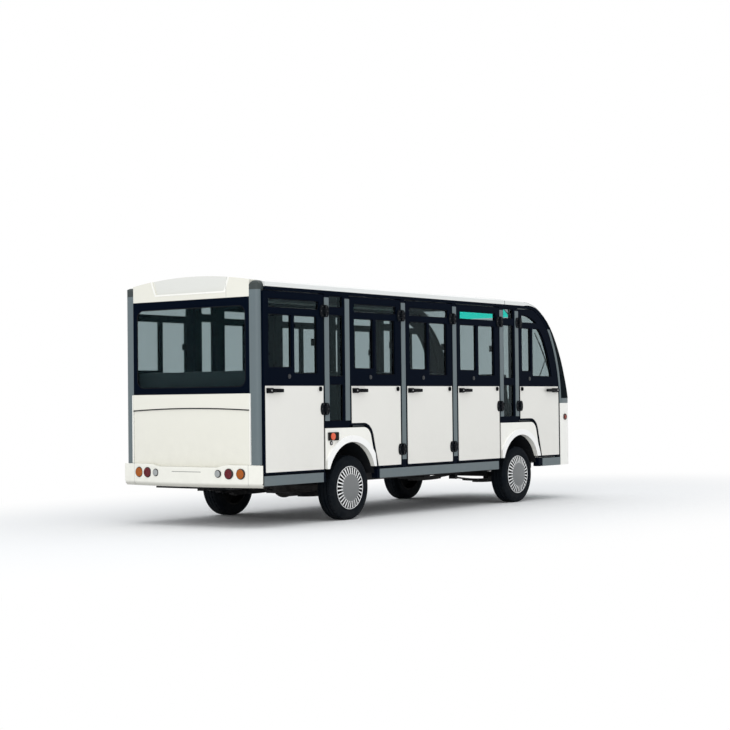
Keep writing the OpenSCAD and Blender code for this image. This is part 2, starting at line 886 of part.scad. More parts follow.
// Deck with cross members below and a tub over each wheel
module floor() {
  deck_front = post_x - post_w;
  member_w = chassis_w;
  members = [side_x, rear_x - spring_half / 2, rear_x + spring_half, -member_w / 2, front_x - spring_half,
             deck_front - member_w];
  color(black) {
    difference() {
      block(side_x, deck_front, -wall_in, wall_in, chassis_top, deck_top);
      both_sides() {
        for (e = ends) {
          block(e[1] - tub_half - hair, e[1] + tub_half + hair,
                -half_w, -tub_in + tub_t + hair, sill_z, sill_top);
        }
      }
    }
    for (x = members) {
      block(x, x + member_w, -rail_y + chassis_w / 2, rail_y - chassis_w / 2, chassis_z, chassis_top + over);
    }
    both_sides() {
      for (e = ends) {
        translate([e[1], 0, 0]) {
          plate(tub_in, half_w - fender_t - tub_in) difference() {
            tub_outline(tub_half);
            translate([0, arch_z]) circle(tub_r);
          }
          plate(tub_in - tub_t, tub_t + over) tub_outline(tub_half);
        }
      }
    }
  }
}

module tub_outline(r) {
  intersection() {
    translate([0, arch_z]) circle(r);
    rect(-r, r, chassis_top, roof_top);
  }
}

// Black sills between the wheel openings, by x range
tub_half = tub_r + tub_t;
sill_runs = [
  [side_x, rear_x - tub_half - hair],
  [rear_x + tub_half + hair, front_x - tub_half - hair],
  [front_x + tub_half + hair, post_x + post_w]
];

module rockers() {
  color(black) both_sides() {
    for (r = sill_runs) {
      block(r[0], r[1], -wall_y, -wall_in, sill_z, sill_top);
    }
  }
}

// Fixed quarter frames, the single posts and the windscreen posts
module side_posts() {
  color(black) both_sides() {
    for (x = [s1, s5]) {
      plate(wall_in, wall_d) difference() {
        rect(x, x + 2 * strip_w + quarter_w, fender_top, rail_z);
        translate([x, 0]) quarter_shape(0);
      }
    }
    for (x = [s3, s4]) {
      block(x, x + strip_w, -wall_y, -wall_in, sill_top, rail_z);
    }
    plate(wall_in, wall_d) post_band();
  }
}

module quarter_shape(f) {
  edge = strip_w / 5;
  for (p = quarter_panes) {
    rrect(strip_w + edge + f, strip_w + quarter_w - 2 * edge - f, p[0] + f, p[1] - f, pane_r);
  }
}

module fixed_glass() {
  color(tint, 0.5) {
    both_sides() {
      for (x = [s1, s5]) {
        translate([x, 0, 0]) plate(glass_y - glass_t / 2, glass_t) quarter_shape(pane_fit);
      }
    }
    along(tail_x + glass_t, tail_x + 2 * glass_t) rear_pane(pane_fit);
  }
}

module cant_rails() {
  color(black) both_sides() plate(wall_in, half_w - wall_in) intersection() {
    behind_post(0);
    rect(tail_x + visor_d, nose_x, rail_z, rail_top);
  }
}

// Side band of the windscreen post
module post_band() {
  difference() {
    intersection() {
      behind_post(-post_w);
      rect(c2x, nose_x, sill_top, roof_top);
    }
    behind_post(0);
  }
}

// Grey strips on pillars, posts and sills and the band under the windscreen
module trim_strips() {
  edges = [side_x, rear_x - arch_r - sill_strip_gap, rear_x + arch_r + sill_strip_gap,
           front_x + arch_shift - arch_r - sill_strip_gap, front_x + front_foot + sill_strip_gap,
           post_x];
  color(slate) {
    both_sides() {
      for (p = pillars) {
        plate(wall_y, strip_t) rect(p[0], p[0] + strip_w, p[1], strip_top);
      }
      plate(wall_y, strip_t) intersection() {
        post_band();
        rect(c2x, nose_x, nose_top + over, pane_top);
      }
      for (i = [0, 2, 4]) {
        block(edges[i], edges[i + 1], -half_w, -wall_y, sill_z, sill_top - sill_strip_drop);
      }
    }
    translate([0, 0, nose_top]) linear_extrude(band_h) nose_plan(glass_t / 2, nose_t);
  }
}

// White panels over the wheels with a raised lip
module arch_panels() {
  color(white) both_sides() {
    for (w = arches) {
      translate([w[W_X], 0, 0]) {
        plate(half_w - fender_t, fender_t) arch_cut(w, 0) arch_outline(w, 0);
        plate(half_w - over, lip_t + over) arch_cut(w, 0) intersection() {
          translate([w[W_SHIFT], arch_z]) circle(arch_r + lip_w);
          arch_outline(w, 0);
        }
      }
    }
  }
}

module arch_cut(w, g) {
  difference() {
    children();
    translate([w[W_SHIFT], arch_z]) circle(arch_r - g);
    rect(-wheelbase, wheelbase, 0, fender_z);
  }
}

// Roof section: an arc crown over two upright edges
module crown_outline(drop, half, z_from) {
  intersection() {
    translate([0, crown_z]) circle(crown_r - drop, $fn = 720);
    rect(-half, half, z_from, roof_top + over);
  }
}

module roof() {
  color(white) {
    along(tail_x + visor_d, c2x) difference() {
      crown_outline(0, half_w, rail_top);
      crown_outline(roof_t, wall_in, rail_top - over);
    }
    both_sides() plate(wall_y, strip_t) edge_runout();
  }
}

// Upright roof edge that thins to nothing along the windscreen post
module edge_runout() {
  shift = roof_edge_h / sin(edge_turn);
  intersection() {
    difference() {
      translate([c2x, c2z]) circle(brow_r + roof_edge_h - 2 * over, $fn = 360);
      translate([c2x + shift, c2z]) circle(sqrt(brow_r * brow_r + shift * shift), $fn = 360);
    }
    rect(c2x - over, post_x, c2z, roof_top);
  }
}

module rear_visor() {
  half = half_w - corner_w;
  color(white) difference() {
    union() {
      along(tail_x, tail_x + visor_d) crown_outline(0, half, surround_top);
      along(tail_x - recess_rim_t, tail_x + over) intersection() {
        crown_outline(0, half, surround_top);
        recess_outline(recess_rim);
      }
    }
    along(tail_x - recess_rim_t - over, tail_x + recess_d) recess_outline(0);
    block(tail_x + tail_t, tail_x + visor_d + over,
          -half + roof_t, half - roof_t, surround_top - over, rail_top);
  }
}

// Recess of the visor, open at the crown, grown by g
module recess_outline(g) {
  low = surround_top + recess_up - g;
  foot = recess_half - recess_slant + g;
  top = recess_half + g;
  polygon([[-foot, low], [foot, low], [top, roof_top + over], [-top, roof_top + over]]);
}

// Corner posts with a domed cap
module corner_posts() {
  cap_top = edge_top + crown_h / 6;
  cap_r = (corner_w - corner_inset) / 2;
  color(slate) both_sides() {
    translate([0, 0, bumper_top]) linear_extrude(rail_z - bumper_top) corner_plan(corner_d);
    intersection() {
      translate([0, 0, rail_z]) linear_extrude(cap_top - rail_z) {
        corner_plan(corner_d);
        rect(side_x - over, tail_x + visor_d, -corner_y, -half_w + corner_w);
      }
      along(tail_x - over, tail_x + visor_d) {
        translate([-corner_y + cap_r, cap_top - cap_r]) circle(cap_r);
        rect(-corner_y, -half_w + corner_w, 0, cap_top - cap_r);
      }
      across(half_w) {
        translate([tail_x + corner_d, cap_top - corner_d]) circle(corner_d);
        rect(tail_x, tail_x + visor_d, 0, cap_top - corner_d);
        rect(tail_x + corner_d, tail_x + visor_d, 0, cap_top);
      }
    }
  }
}

module corner_plan(r) {
  rect(tail_x + r, tail_x + r + hair, -corner_y, -half_w + corner_w);
  rect(tail_x, tail_x + r, -corner_y + r, -half_w + corner_w);
  intersection() {
    translate([tail_x + r, -corner_y + r]) circle(r);
    rect(tail_x, tail_x + r, -corner_y, -corner_y + r);
  }
}

module rear_pane(f) {
  half = half_w - corner_w - surround_side;
  rrect(-half + f, half - f, surround_z + surround_foot + f, surround_top - surround_head - f, surround_r);
}

module rear_surround() {
  half = half_w - corner_w;
  color(black) along(tail_x, tail_x + tail_t) difference() {
    rect(-half, half, surround_z, surround_top);
    rear_pane(0);
  }
}

module tail_panel() {
  half = half_w - corner_w;
  band_low = surround_z - tail_band_h;
  band_r = (half * half + tail_band_rise * tail_band_rise) / (2 * tail_band_rise);
  color(white) {
    along(tail_x, tail_x + tail_t) difference() {
      rect(-half, half, bumper_z, surround_z);
      bumper_outline();
    }
    along(tail_x - tail_band_t, tail_x + over) difference() {
      rect(-half, half, band_low, surround_z);
      translate([0, band_low + tail_band_rise - band_r]) circle(band_r, $fn = 720);
    }
  }
}

// Bumper seen from behind: a low middle between raised ends
module bumper_outline() {
  dip_z = bumper_top - bumper_dip;
  polygon([
    [-bumper_half, bumper_z], [bumper_half, bumper_z], [bumper_half, bumper_top],
    [dip_half + dip_run, bumper_top], [dip_half, dip_z], [-dip_half, dip_z],
    [-dip_half - dip_run, bumper_top], [-bumper_half, bumper_top]
  ]);
}

// Bumper face behind the wheelbase middle at distance y from the middle
function bumper_face(y) = bumper_x + bow_r - sqrt(bow_r * bow_r - y * y);

module bumper_plan() {
  intersection() {
    translate([bumper_x + bow_r, 0]) circle(bow_r, $fn = 720);
    rrect(bumper_x - bumper_r, bumper_end + bumper_r, -bumper_half, bumper_half, bumper_r);
    rect(bumper_x, bumper_end, -bumper_half, bumper_half);
    union() {
      rect(tail_x - bumper_bow, bumper_end, -bow_half, bow_half);
      for (y = [-bumper_half + bumper_r, bumper_half - bumper_r]) {
        translate([tail_x + bumper_r - corner_d / 2, y]) circle(bumper_r);
      }
      rect(tail_x + bumper_r - corner_d / 2, bumper_end, -bumper_half, bumper_half);
    }
  }
}

// Bumper shell with a beam to the ends of the chassis rails
module rear_bumper() {
  beam_y = rail_y + chassis_w / 2;
  color(white) difference() {
    union() {
      intersection() {
        translate([0, 0, bumper_z]) linear_extrude(bumper_top - bumper_z) bumper_plan();
        along(bumper_x - over, bumper_end + over) bumper_outline();
      }
      block(bumper_end - over, side_x, -beam_y, beam_y, bumper_z, chassis_top);
    }
    lamp_row(turn_lamp_y, lamp_r + pane_fit);
    lamp_row(stop_lamp_y, lamp_r + pane_fit);
    lamp_row(back_lamp_y, back_lamp_r + pane_fit);
  }
}

// A pair of lamp bodies set in the bumper
module lamp_row(y, r) {
  face = bumper_face(y);
  both_sides() translate([0, -y, lamp_z]) pin_x(r, face - lamp_reach, face + bumper_bow / 2);
}

module turn_lamps() {
  color([0.95, 0.5, 0.05]) {
    lamp_row(turn_lamp_y, lamp_r);
    both_sides() marker(0);
  }
}

module stop_lamps() {
  color([0.75, 0.05, 0.05]) lamp_row(stop_lamp_y, lamp_r);
}

module clear_lamps() {
  color([0.9, 0.92, 0.95]) {
    lamp_row(back_lamp_y, back_lamp_r);
    intersection() {
      nose_skin();
      headlamp_bores(0);
    }
  }
}

// Round marker on the flank of the nose
module marker(f) {
  translate([post_x + post_w + nose_bow / 4, 0, headlamp_z + 2 * headlamp_r]) {
    pin_y(marker_r + f, half_w - nose_t - 2 * over, half_w + nose_t);
  }
}

// Plan outline of the front, from its rounded law, with closer points at the corners
turn_power = 1.6;
function plan_turns() = [for (i = [-12:12]) let (s = i / 12) 90 * sign(s) * pow(abs(s), turn_power)];
function plan_pt(t, bow, half) = [
  bow * pow(abs(cos(t)), 2 / plan_power),
  half * sign(t) * pow(abs(sin(t)), 2 / plan_power)
];

module nose_plan(back, t) {
  outer = [for (a = plan_turns()) plan_pt(a, nose_bow, half_w)];
  inner = [for (a = plan_turns()) plan_pt(a, nose_bow - t, half_w - t)];
  n = len(inner);
  x = post_x + post_w;
  polygon(concat(
    [[x + back, -half_w]],
    [for (p = outer) if (p[0] > back) [x + p[0], p[1]]],
    [[x + back, half_w], [x + back, half_w - t]],
    [for (i = [n - 1:-1:0]) if (inner[i][0] > back) [x + inner[i][0], inner[i][1]]],
    [[x + back, -half_w + t]]
  ));
}

module nose_skin() {
  translate([0, 0, sill_z]) linear_extrude(nose_top - sill_z) nose_plan(-post_w + glass_t, nose_t);
}

module headlamp_bores(f) {
  both_sides() translate([0, -headlamp_y, headlamp_z]) pin_x(headlamp_r + f, post_x + post_w, nose_x + over);
}

module nose() {
  color(white) difference() {
    nose_skin();
    headlamp_bores(pane_fit);
    both_sides() marker(pane_fit);
  }
}

// Shells from an outer and an inner grid of points
function quad(a, b, c, d) = [[a, b, c], [a, c, d]];
function shell_faces(n, m) = let (k = n * m, t = (n - 1) * m) concat(
  [for (i = [0:n - 2]) for (j = [0:m - 2]) let (a = i * m + j) each quad(a, a + m, a + m + 1, a + 1)],
  [for (i = [0:n - 2]) for (j = [0:m - 2]) let (a = k + i * m + j) each quad(a, a + 1, a + m + 1, a + m)],
  [for (j = [0:m - 2]) each quad(j, j + 1, k + j + 1, k + j)],
  [for (j = [0:m - 2]) each quad(t + j + 1, t + j, k + t + j, k + t + j + 1)],
  [for (i = [0:n - 2]) let (a = i * m) each quad(a + m, a, k + a, k + a + m)],
  [for (i = [0:n - 2]) let (a = i * m + m - 1) each quad(a, a + m, k + a + m, k + a)]
);

module shell(outer, inner) {
  n = len(outer);
  m = len(outer[0]);
  pts = concat([for (r = outer) each r], [for (r = inner) each r]);
  polyhedron(points = pts, faces = shell_faces(n, m), convexity = 6);
}

// Front edge of the posts at height z
join_front = c1z + (post_r + post_w) * sin(brow_turn);
function front_line(z) = z <= c1z ? post_x + post_w
  : z <= join_front ? c1x + sqrt(pow(post_r + post_w, 2) - pow(z - c1z, 2))
  : c2x + sqrt(pow(brow_r + post_w, 2) - pow(z - c2z, 2));
function bow_at(z) = nose_bow + (brow_bow - nose_bow) * (z - band_top) / (brow_z - band_top);

// One level of the windscreen, drawn in by t
function screen_row(z, t) = [for (a = plan_turns())
  let (p = plan_pt(a, bow_at(z) - glass_t / 2 - t, half_w - t))
  [front_line(z) + glass_t / 2 + p[0], p[1], z]];

module windscreen() {
  steps = 14;
  levels = [for (i = [0:steps]) band_top + (brow_z - band_top) * i / steps];
  color(tint, 0.5) shell([for (z = levels) screen_row(z, 0)], [for (z = levels) screen_row(z, glass_t)]);
}

// One turn of the brow from the windscreen's top edge to the roof, drawn in by t.
// It thins to nothing over the posts and ends level over the windscreen.
// Its edge is level with the roof's and clears the posts in front.
function brow_row(a, t) = let (share = a / brow_end, bow = (brow_bow - glass_t / 2) * share)
  [for (b = plan_turns())
    let (p = plan_pt(b, bow, half_w - t),
         in = t * (1 - pow(abs(p[1]) / half_w, plan_power)),
         r = brow_r + roof_edge_h + over * share - in * (1 - share),
         rise = sqrt(crown_r * crown_r - p[1] * p[1]) + crown_z - edge_top)
    [c2x + r * sin(a) + p[0] + (glass_t / 2 - in) * share, p[1], c2z + r * cos(a) + rise * (1 - share)]];

module brow() {
  steps = 10;
  turns = [for (i = [0:steps]) brow_end * (1 - i / steps)];
  color(white) shell([for (a = turns) brow_row(a, 0)], [for (a = turns) brow_row(a, roof_t)]);
}

// Inside
module dashboard() {
  foot = post_x - post_w * 2;
  top = band_top - post_w;
  color(black) difference() {
    across(wall_in) polygon([
      [foot, top - 5 * post_w], [post_x + post_w, top - 5 * post_w], [post_x + post_w, top],
      [post_x - post_w, top], [foot, top - post_w]
    ]);
    at_column() column(pane_fit);
  }
}

ring_tube = 14;
column_tilt = 55;
spoke_share = 0.7;

module at_column() {
  translate([post_x - 2 * post_w, seat_w * front_shares[1], band_top - 3 * post_w]) {
    rotate([0, -column_tilt, 0]) children();
  }
}

module column(f) {
  translate([0, 0, -wheel_ring_r / 3 - f]) cylinder(r = ring_tube * 2 + f, h = wheel_ring_r * 4 / 3 + f);
}

// Driver's wheel on the left with its column
module steering_wheel() {
  color(black) at_column() {
    translate([0, 0, wheel_ring_r]) {
      rotate_extrude() translate([wheel_ring_r, 0]) circle(ring_tube, $fn = 32);
      for (a = [0, 120, 240]) {
        rotate([0, 90, a]) cylinder(r = ring_tube * spoke_share, h = wheel_ring_r);
      }
      translate([0, 0, -ring_tube]) cylinder(r = wheel_ring_r / 4, h = 2 * ring_tube);
    }
    column(0);
  }
}

// Seat rows: back of the row, shares of its seats' places, share of its half width
R_X = 0;
R_PLACES = 1;
R_HALF = 2;
rows = concat(
  [for (x = [side_x, a2, a3, a4]) [x + seat_off, bench_shares, half_shares[0]]],
  [[a5 + seat_off, front_shares, half_shares[1]]]
);
back_run = 100;
back_t = 80;
shell_t = 12;
pan_t = 14;

// Leaning slab of a seat back, t thick and x ahead of the row
module seat_back_outline(x, t, z_from, z_to) {
  from = x + back_run * (back_top - z_from) / (back_top - pan_z);
  to = x + back_run * (back_top - z_to) / (back_top - pan_z);
  polygon([[from, z_from], [from + t, z_from], [to + t, z_to], [to, z_to]]);
}

module seat_frames() {
  base_half = tub_in - 2 * tub_t;
  pan_l = back_run + shell_t + cushion_l;
  color(black) for (r = rows) {
    half = r[R_HALF] * seat_w;
    translate([r[R_X], 0, 0]) {
      difference() {
        block(back_run, pan_l - pad_t, -base_half, base_half, deck_top, pan_z - pan_t + over);
        block(back_run + pan_t, pan_l - pad_t - pan_t, -base_half + pan_t, base_half - pan_t,
              deck_top - over, pan_z - pan_t);
      }
      block(back_run, pan_l - pan_t, -half, half, pan_z - pan_t, pan_z);
      across(half) seat_back_outline(0, shell_t, pan_z - pan_t, back_top - pan_t);
    }
  }
}

module seat_pads() {
  color([0.2, 0.2, 0.22]) for (r = rows) {
    for (share = r[R_PLACES]) {
      translate([r[R_X], share * seat_w, 0]) {
        across(seat_w / 2 - hair) seat_back_outline(shell_t + hair, back_t, pan_z + pad_t + pan_t, back_top);
        block(back_run + shell_t + hair, back_run + shell_t + cushion_l,
              -seat_w / 2 + hair, seat_w / 2 - hair, pan_z + hair, pan_z + pad_t);
      }
    }
  }
}

// Battery blocks under two of the benches
module battery_pack() {
  half = tub_in - 2 * tub_t - 2 * pan_t;
  color(slate) for (x = [a3, a4]) {
    translate([x + seat_off, 0, 0]) {
      block(back_run + 2 * pan_t, cushion_l - pan_t, -half, half, deck_top, pan_z - 3 * pan_t);
    }
  }
}

// Charging socket box with a round cap on the right rear arch panel
module charge_port() {
  base_l = 140;
  base_h = 70;
  base_t = 14;
  cap_r = 27;
  cap_t = 12;
  z = fender_top - base_h;
  color([0.9, 0.35, 0.1]) translate([s1 + (strip_w + base_l) / 2, 0, z]) {
    plate(half_w, base_t) rrect(-base_l / 2, base_l / 2, -base_h / 2, base_h / 2, skin_r);
    pin_y(cap_r, half_w, half_w + base_t + cap_t);
  }
}

// Drawing
placed() chassis_rails();
placed() floor();
placed() rockers();
placed() side_posts();
placed() cant_rails();
placed() trim_strips();
placed() hinge_leaves();
placed() arch_panels();
placed() fixed_glass();
placed() roof();
placed() brow();
placed() rear_visor();
placed() corner_posts();
placed() rear_surround();
placed() tail_panel();
placed() rear_bumper();
placed() turn_lamps();
placed() stop_lamps();
placed() clear_lamps();
placed() nose();
placed() windscreen();
placed() dashboard();
placed() steering_wheel();
placed() seat_frames();
placed() seat_pads();
placed() battery_pack();
placed() charge_port();
placed() front_axle();
placed() rear_axle();
placed() leaf_springs();
for (s = sides) {
  placed() on_side(s[1]) knuckle();
  for (e = ends) {
    union() {
      placed() on_side(s[1]) translate([e[1], -wheel_y, tyre_r]) tyre();
    }
    union() {
      placed() on_side(s[1]) translate([e[1], -wheel_y, tyre_r]) wheel();
    }
  }
  for (d = doors) {
    placed() on_side(s[1]) door(d);
    placed() on_side(s[1]) door_glass(d);
  }
}
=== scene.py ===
import math

import bpy
from mathutils import Matrix, Vector


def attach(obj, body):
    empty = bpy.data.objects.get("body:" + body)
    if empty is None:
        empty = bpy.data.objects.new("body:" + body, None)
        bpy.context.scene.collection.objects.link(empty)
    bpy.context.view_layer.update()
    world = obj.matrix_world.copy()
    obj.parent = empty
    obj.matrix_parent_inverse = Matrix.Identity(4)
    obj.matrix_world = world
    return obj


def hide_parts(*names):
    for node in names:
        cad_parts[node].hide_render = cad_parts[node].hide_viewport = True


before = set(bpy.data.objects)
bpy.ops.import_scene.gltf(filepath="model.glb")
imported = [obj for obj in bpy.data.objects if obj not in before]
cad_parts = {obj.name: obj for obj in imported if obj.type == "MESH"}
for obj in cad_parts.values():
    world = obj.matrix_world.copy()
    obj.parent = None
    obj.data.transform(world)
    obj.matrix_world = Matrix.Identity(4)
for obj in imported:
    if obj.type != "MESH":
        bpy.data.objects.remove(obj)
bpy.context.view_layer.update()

# Camera
# It stands behind the right rear corner at chest height with a short telephoto lens, which is
# where the edges of the doors, wheels and tail meet in the picture.
eye = Vector((-12.737, -9.411, 1.018))
heading = math.radians(36.637)
pitch = math.radians(1.292)
roll = math.radians(-0.627)
lens = bpy.data.cameras.new("camera")
lens.lens = 81.4
lens.sensor_width = 36.0
camera = bpy.data.objects.new("camera", lens)
bpy.context.scene.collection.objects.link(camera)
camera.matrix_world = (
    Matrix.Translation(eye)
    @ Matrix.Rotation(heading - math.pi / 2, 4, "Z")
    @ Matrix.Rotation(math.pi / 2 + pitch, 4, "X")
    @ Matrix.Rotation(roll, 4, "Z")
)
bpy.context.scene.camera = camera
bpy.context.scene.view_settings.view_transform = "Standard"

# Studio
# A pale floor that keeps the shuttle's shadow and fades to white away from it, under a white sky,
# with a broad lamp overhead and another behind the tail, on the camera's side.


def feed(tree, source, socket):
    """Feeds a socket from another socket or a constant."""
    if isinstance(source, bpy.types.NodeSocket):
        tree.links.new(source, socket)
    else:
        socket.default_value = source


def add_node(tree, kind, inputs=()):
    """A shader node with its inputs by name, each a constant or another socket."""
    made = tree.nodes.new("ShaderNode" + kind)
    for label, source in dict(inputs).items():
        feed(tree, source, made.inputs[label])
    return made


def maths(tree, operation, *sources):
    """A Math node's result from sockets or numbers."""
    made = tree.nodes.new("ShaderNodeMath")
    made.operation = operation
    for socket, source in zip(made.inputs, sources):
        feed(tree, source, socket)
    return made.outputs["Value"]


def seen_share(tree):
    """One for rays that show the background, in the picture, in gloss or through glass."""
    path = tree.nodes.new("ShaderNodeLightPath")
    shown = maths(tree, "MAXIMUM", path.outputs["Is Camera Ray"], path.outputs["Is Glossy Ray"])
    return maths(tree, "MAXIMUM", shown, path.outputs["Is Transmission Ray"])


def started(name, primitive, **settings):
    """A new primitive to shape, the only thing selected."""
    bpy.ops.object.select_all(action="DESELECT")
    primitive(**settings)
    piece = bpy.context.active_object
    piece.name = name
    return piece


sky_light = 0.82
world = bpy.data.worlds.new("sky")
world.use_nodes = True
bpy.context.scene.world = world
sky_tree = world.node_tree
sky = sky_tree.nodes["Background"]
sky.inputs["Color"].default_value = (0.95, 0.975, 1.0, 1)
sky.inputs["Strength"].default_value = sky_light
white_sky = add_node(sky_tree, "Background", {"Color": (1, 1, 1, 1), "Strength": 1.0})
sky_mix = add_node(sky_tree, "MixShader", {"Fac": seen_share(sky_tree)})
sky_tree.links.new(sky.outputs["Background"], sky_mix.inputs[1])
sky_tree.links.new(white_sky.outputs["Background"], sky_mix.inputs[2])
sky_tree.links.new(sky_mix.outputs["Shader"], sky_tree.nodes["World Output"].inputs["Surface"])

floor_size = 240
fade_length, fade_width, fade_end = 3.4, 1.6, 2.6
floor = started("studio_floor", bpy.ops.mesh.primitive_plane_add, size=floor_size)
floor_paint = bpy.data.materials.new("studio_floor")
floor_paint.use_nodes = True
floor_tree = floor_paint.node_tree
floor_shade = floor_tree.nodes["Principled BSDF"]
floor_shade.inputs["Base Color"].default_value = (0.9, 0.9, 0.9, 1)
floor_shade.inputs["Roughness"].default_value = 0.9
floor_shade.inputs["Specular IOR Level"].default_value = 0.0
floor_place = add_node(floor_tree, "TexCoord")
floor_reach = add_node(floor_tree, "Mapping", {
    "Scale": (1 / fade_length, 1 / fade_width, 1), "Vector": floor_place.outputs["Object"]})
floor_far = add_node(floor_tree, "VectorMath", {0: floor_reach.outputs["Vector"]})
floor_far.operation = "LENGTH"
floor_fade = add_node(floor_tree, "MapRange", {
    "From Min": 1.0, "From Max": fade_end, "Value": floor_far.outputs["Value"]})
floor_fade.interpolation_type = "SMOOTHSTEP"
floor_white = add_node(floor_tree, "Emission", {"Color": (1, 1, 1, 1), "Strength": 1.0})
floor_mix = add_node(floor_tree, "MixShader", {
    "Fac": maths(floor_tree, "MULTIPLY", floor_fade.outputs["Result"], seen_share(floor_tree))})
floor_tree.links.new(floor_shade.outputs["BSDF"], floor_mix.inputs[1])
floor_tree.links.new(floor_white.outputs["Emission"], floor_mix.inputs[2])
floor_tree.links.new(floor_mix.outputs["Shader"], floor_tree.nodes["Material Output"].inputs["Surface"])
floor.data.materials.append(floor_paint)

for name, place, aim, size, power in (
    ("lamp_overhead", (-0.5, -1.0, 7.5), (0, 0, 0.8), 9.0, 190.0),
    ("lamp_side", (-12.0, -5.0, 4.0), (-1.0, 0, 1.0), 6.0, 300.0),
):
    lamp = bpy.data.lights.new(name, "AREA")
    lamp.size = size
    lamp.energy = power
    stand = bpy.data.objects.new(name, lamp)
    bpy.context.scene.collection.objects.link(stand)
    stand.location = place
    stand.rotation_euler = (Vector(aim) - Vector(place)).to_track_quat("-Z", "Y").to_euler()

# Shell panels
# Roof, rear visor, tail, bumper, wheel arches and nose are moulded shells in cream white gloss,
# with softly rounded edges, bonded to the frame. The roof is lined with dark felt.


def mix_colour(tree, share, first, second):
    """A colour between two sockets or colours by a share."""
    made = tree.nodes.new("ShaderNodeMix")
    made.data_type = "RGBA"
    feed(tree, share, made.inputs[0])
    feed(tree, first, made.inputs[6])
    feed(tree, second, made.inputs[7])
    return made.outputs[2]


def effect(name, inputs, outputs):
    """An empty shader group with named sockets, its input node and its output node."""
    group = bpy.data.node_groups.new(name, "ShaderNodeTree")
    for label, kind, value in inputs:
        socket = group.interface.new_socket(label, in_out="INPUT", socket_type="NodeSocket" + kind)
        socket.default_value = value
    for label, kind in outputs:
        group.interface.new_socket(label, in_out="OUTPUT", socket_type="NodeSocket" + kind)
    return group, group.nodes.new("NodeGroupInput"), group.nodes.new("NodeGroupOutput")


# Uneven tone all over, and road dust that thins out with height
weathering, given, result = effect(
    "weathering",
    [("Colour", "Color", (0.8, 0.8, 0.8, 1)), ("Roughness", "Float", 0.4), ("Mottle", "Float", 0.05),
     ("Dust", "Color", (0.36, 0.33, 0.28, 1)), ("Amount", "Float", 0.2), ("Reach", "Float", 0.9)],
    [("Colour", "Color"), ("Roughness", "Float")],
)
place = add_node(weathering, "TexCoord").outputs["Object"]
cloud = add_node(weathering, "TexNoise", {"Scale": 1.7, "Detail": 4.0, "Vector": place}).outputs["Fac"]
sway = maths(weathering, "MULTIPLY", maths(weathering, "SUBTRACT", cloud, 0.5), 2.0)
tone = maths(weathering, "MULTIPLY_ADD", sway, given.outputs["Mottle"], 1.0)
toned = add_node(weathering, "HueSaturation", {"Color": given.outputs["Colour"], "Value": tone})
height = add_node(weathering, "SeparateXYZ", {"Vector": place}).outputs["Z"]
low = add_node(weathering, "MapRange", {
    "To Min": 1.0, "To Max": 0.0, "Value": height, "From Max": given.outputs["Reach"]})
speck = add_node(weathering, "TexNoise", {"Scale": 11.0, "Detail": 8.0, "Roughness": 0.7, "Vector": place})
spots = add_node(weathering, "MapRange", {"From Min": 0.35, "From Max": 0.75, "Value": speck.outputs["Fac"]})
film = maths(weathering, "MULTIPLY", low.outputs["Result"], spots.outputs["Result"])
film = maths(weathering, "MULTIPLY", film, given.outputs["Amount"])
weathering.links.new(
    mix_colour(weathering, film, toned.outputs["Color"], given.outputs["Dust"]), result.inputs["Colour"])
dulled = maths(weathering, "MULTIPLY_ADD", sway, 0.06, given.outputs["Roughness"])
dusty = maths(weathering, "MULTIPLY_ADD", film, 0.3, dulled)
weathering.links.new(dusty, result.inputs["Roughness"])

# Fine relief of sprayed, moulded or cast surfaces
grain, given, result = effect(
    "grain", [("Scale", "Float", 300.0), ("Depth", "Float", 0.0001)], [("Normal", "Vector")])
place = add_node(grain, "TexCoord").outputs["Object"]
rise = add_node(grain, "TexNoise", {"Detail": 2.0, "Vector": place, "Scale": given.outputs["Scale"]})
relief = add_node(grain, "Bump", {
    "Strength": 1.0, "Height": rise.outputs["Fac"], "Distance": given.outputs["Depth"]})
grain.links.new(relief.outputs["Normal"], result.inputs["Normal"])


def surface(name, colour, rough, mottle=0.04, dust=0.2, scale=300.0, depth=0.00008, gleam=0.5, **constants):
    """A material with weathered colour and roughness, a relief of some scale and depth, and a gleam."""
    made = bpy.data.materials.new(name)
    made.use_nodes = True
    tree = made.node_tree
    shader = tree.nodes["Principled BSDF"]
    for label, value in constants.items():
        shader.inputs[label.replace("_", " ")].default_value = value
    shader.inputs["Specular IOR Level"].default_value = gleam
    worn = tree.nodes.new("ShaderNodeGroup")
    worn.node_tree = weathering
    worn.inputs["Colour"].default_value = (*colour, 1)
    worn.inputs["Roughness"].default_value = rough
    worn.inputs["Mottle"].default_value = mottle
    worn.inputs["Amount"].default_value = dust
    tree.links.new(worn.outputs["Colour"], shader.inputs["Base Color"])
    tree.links.new(worn.outputs["Roughness"], shader.inputs["Roughness"])
    fine = tree.nodes.new("ShaderNodeGroup")
    fine.node_tree = grain
    fine.inputs["Scale"].default_value = scale
    fine.inputs["Depth"].default_value = depth
    tree.links.new(fine.outputs["Normal"], shader.inputs["Normal"])
    return made


def take(piece):
    """Makes one piece the only selected one."""
    bpy.ops.object.select_all(action="DESELECT")
    piece.select_set(True)
    bpy.context.view_layer.objects.active = piece
    return piece


def edit_all(piece):
    """Opens a piece's mesh in edit mode with everything selected."""
    take(piece)
    bpy.ops.object.mode_set(mode="EDIT")
    bpy.ops.mesh.select_all(action="SELECT")


def close_mesh():
    """Leaves edit mode."""
    bpy.ops.object.mode_set(mode="OBJECT")


flat_angle = math.radians(0.4)
merge_gap = 0.00001


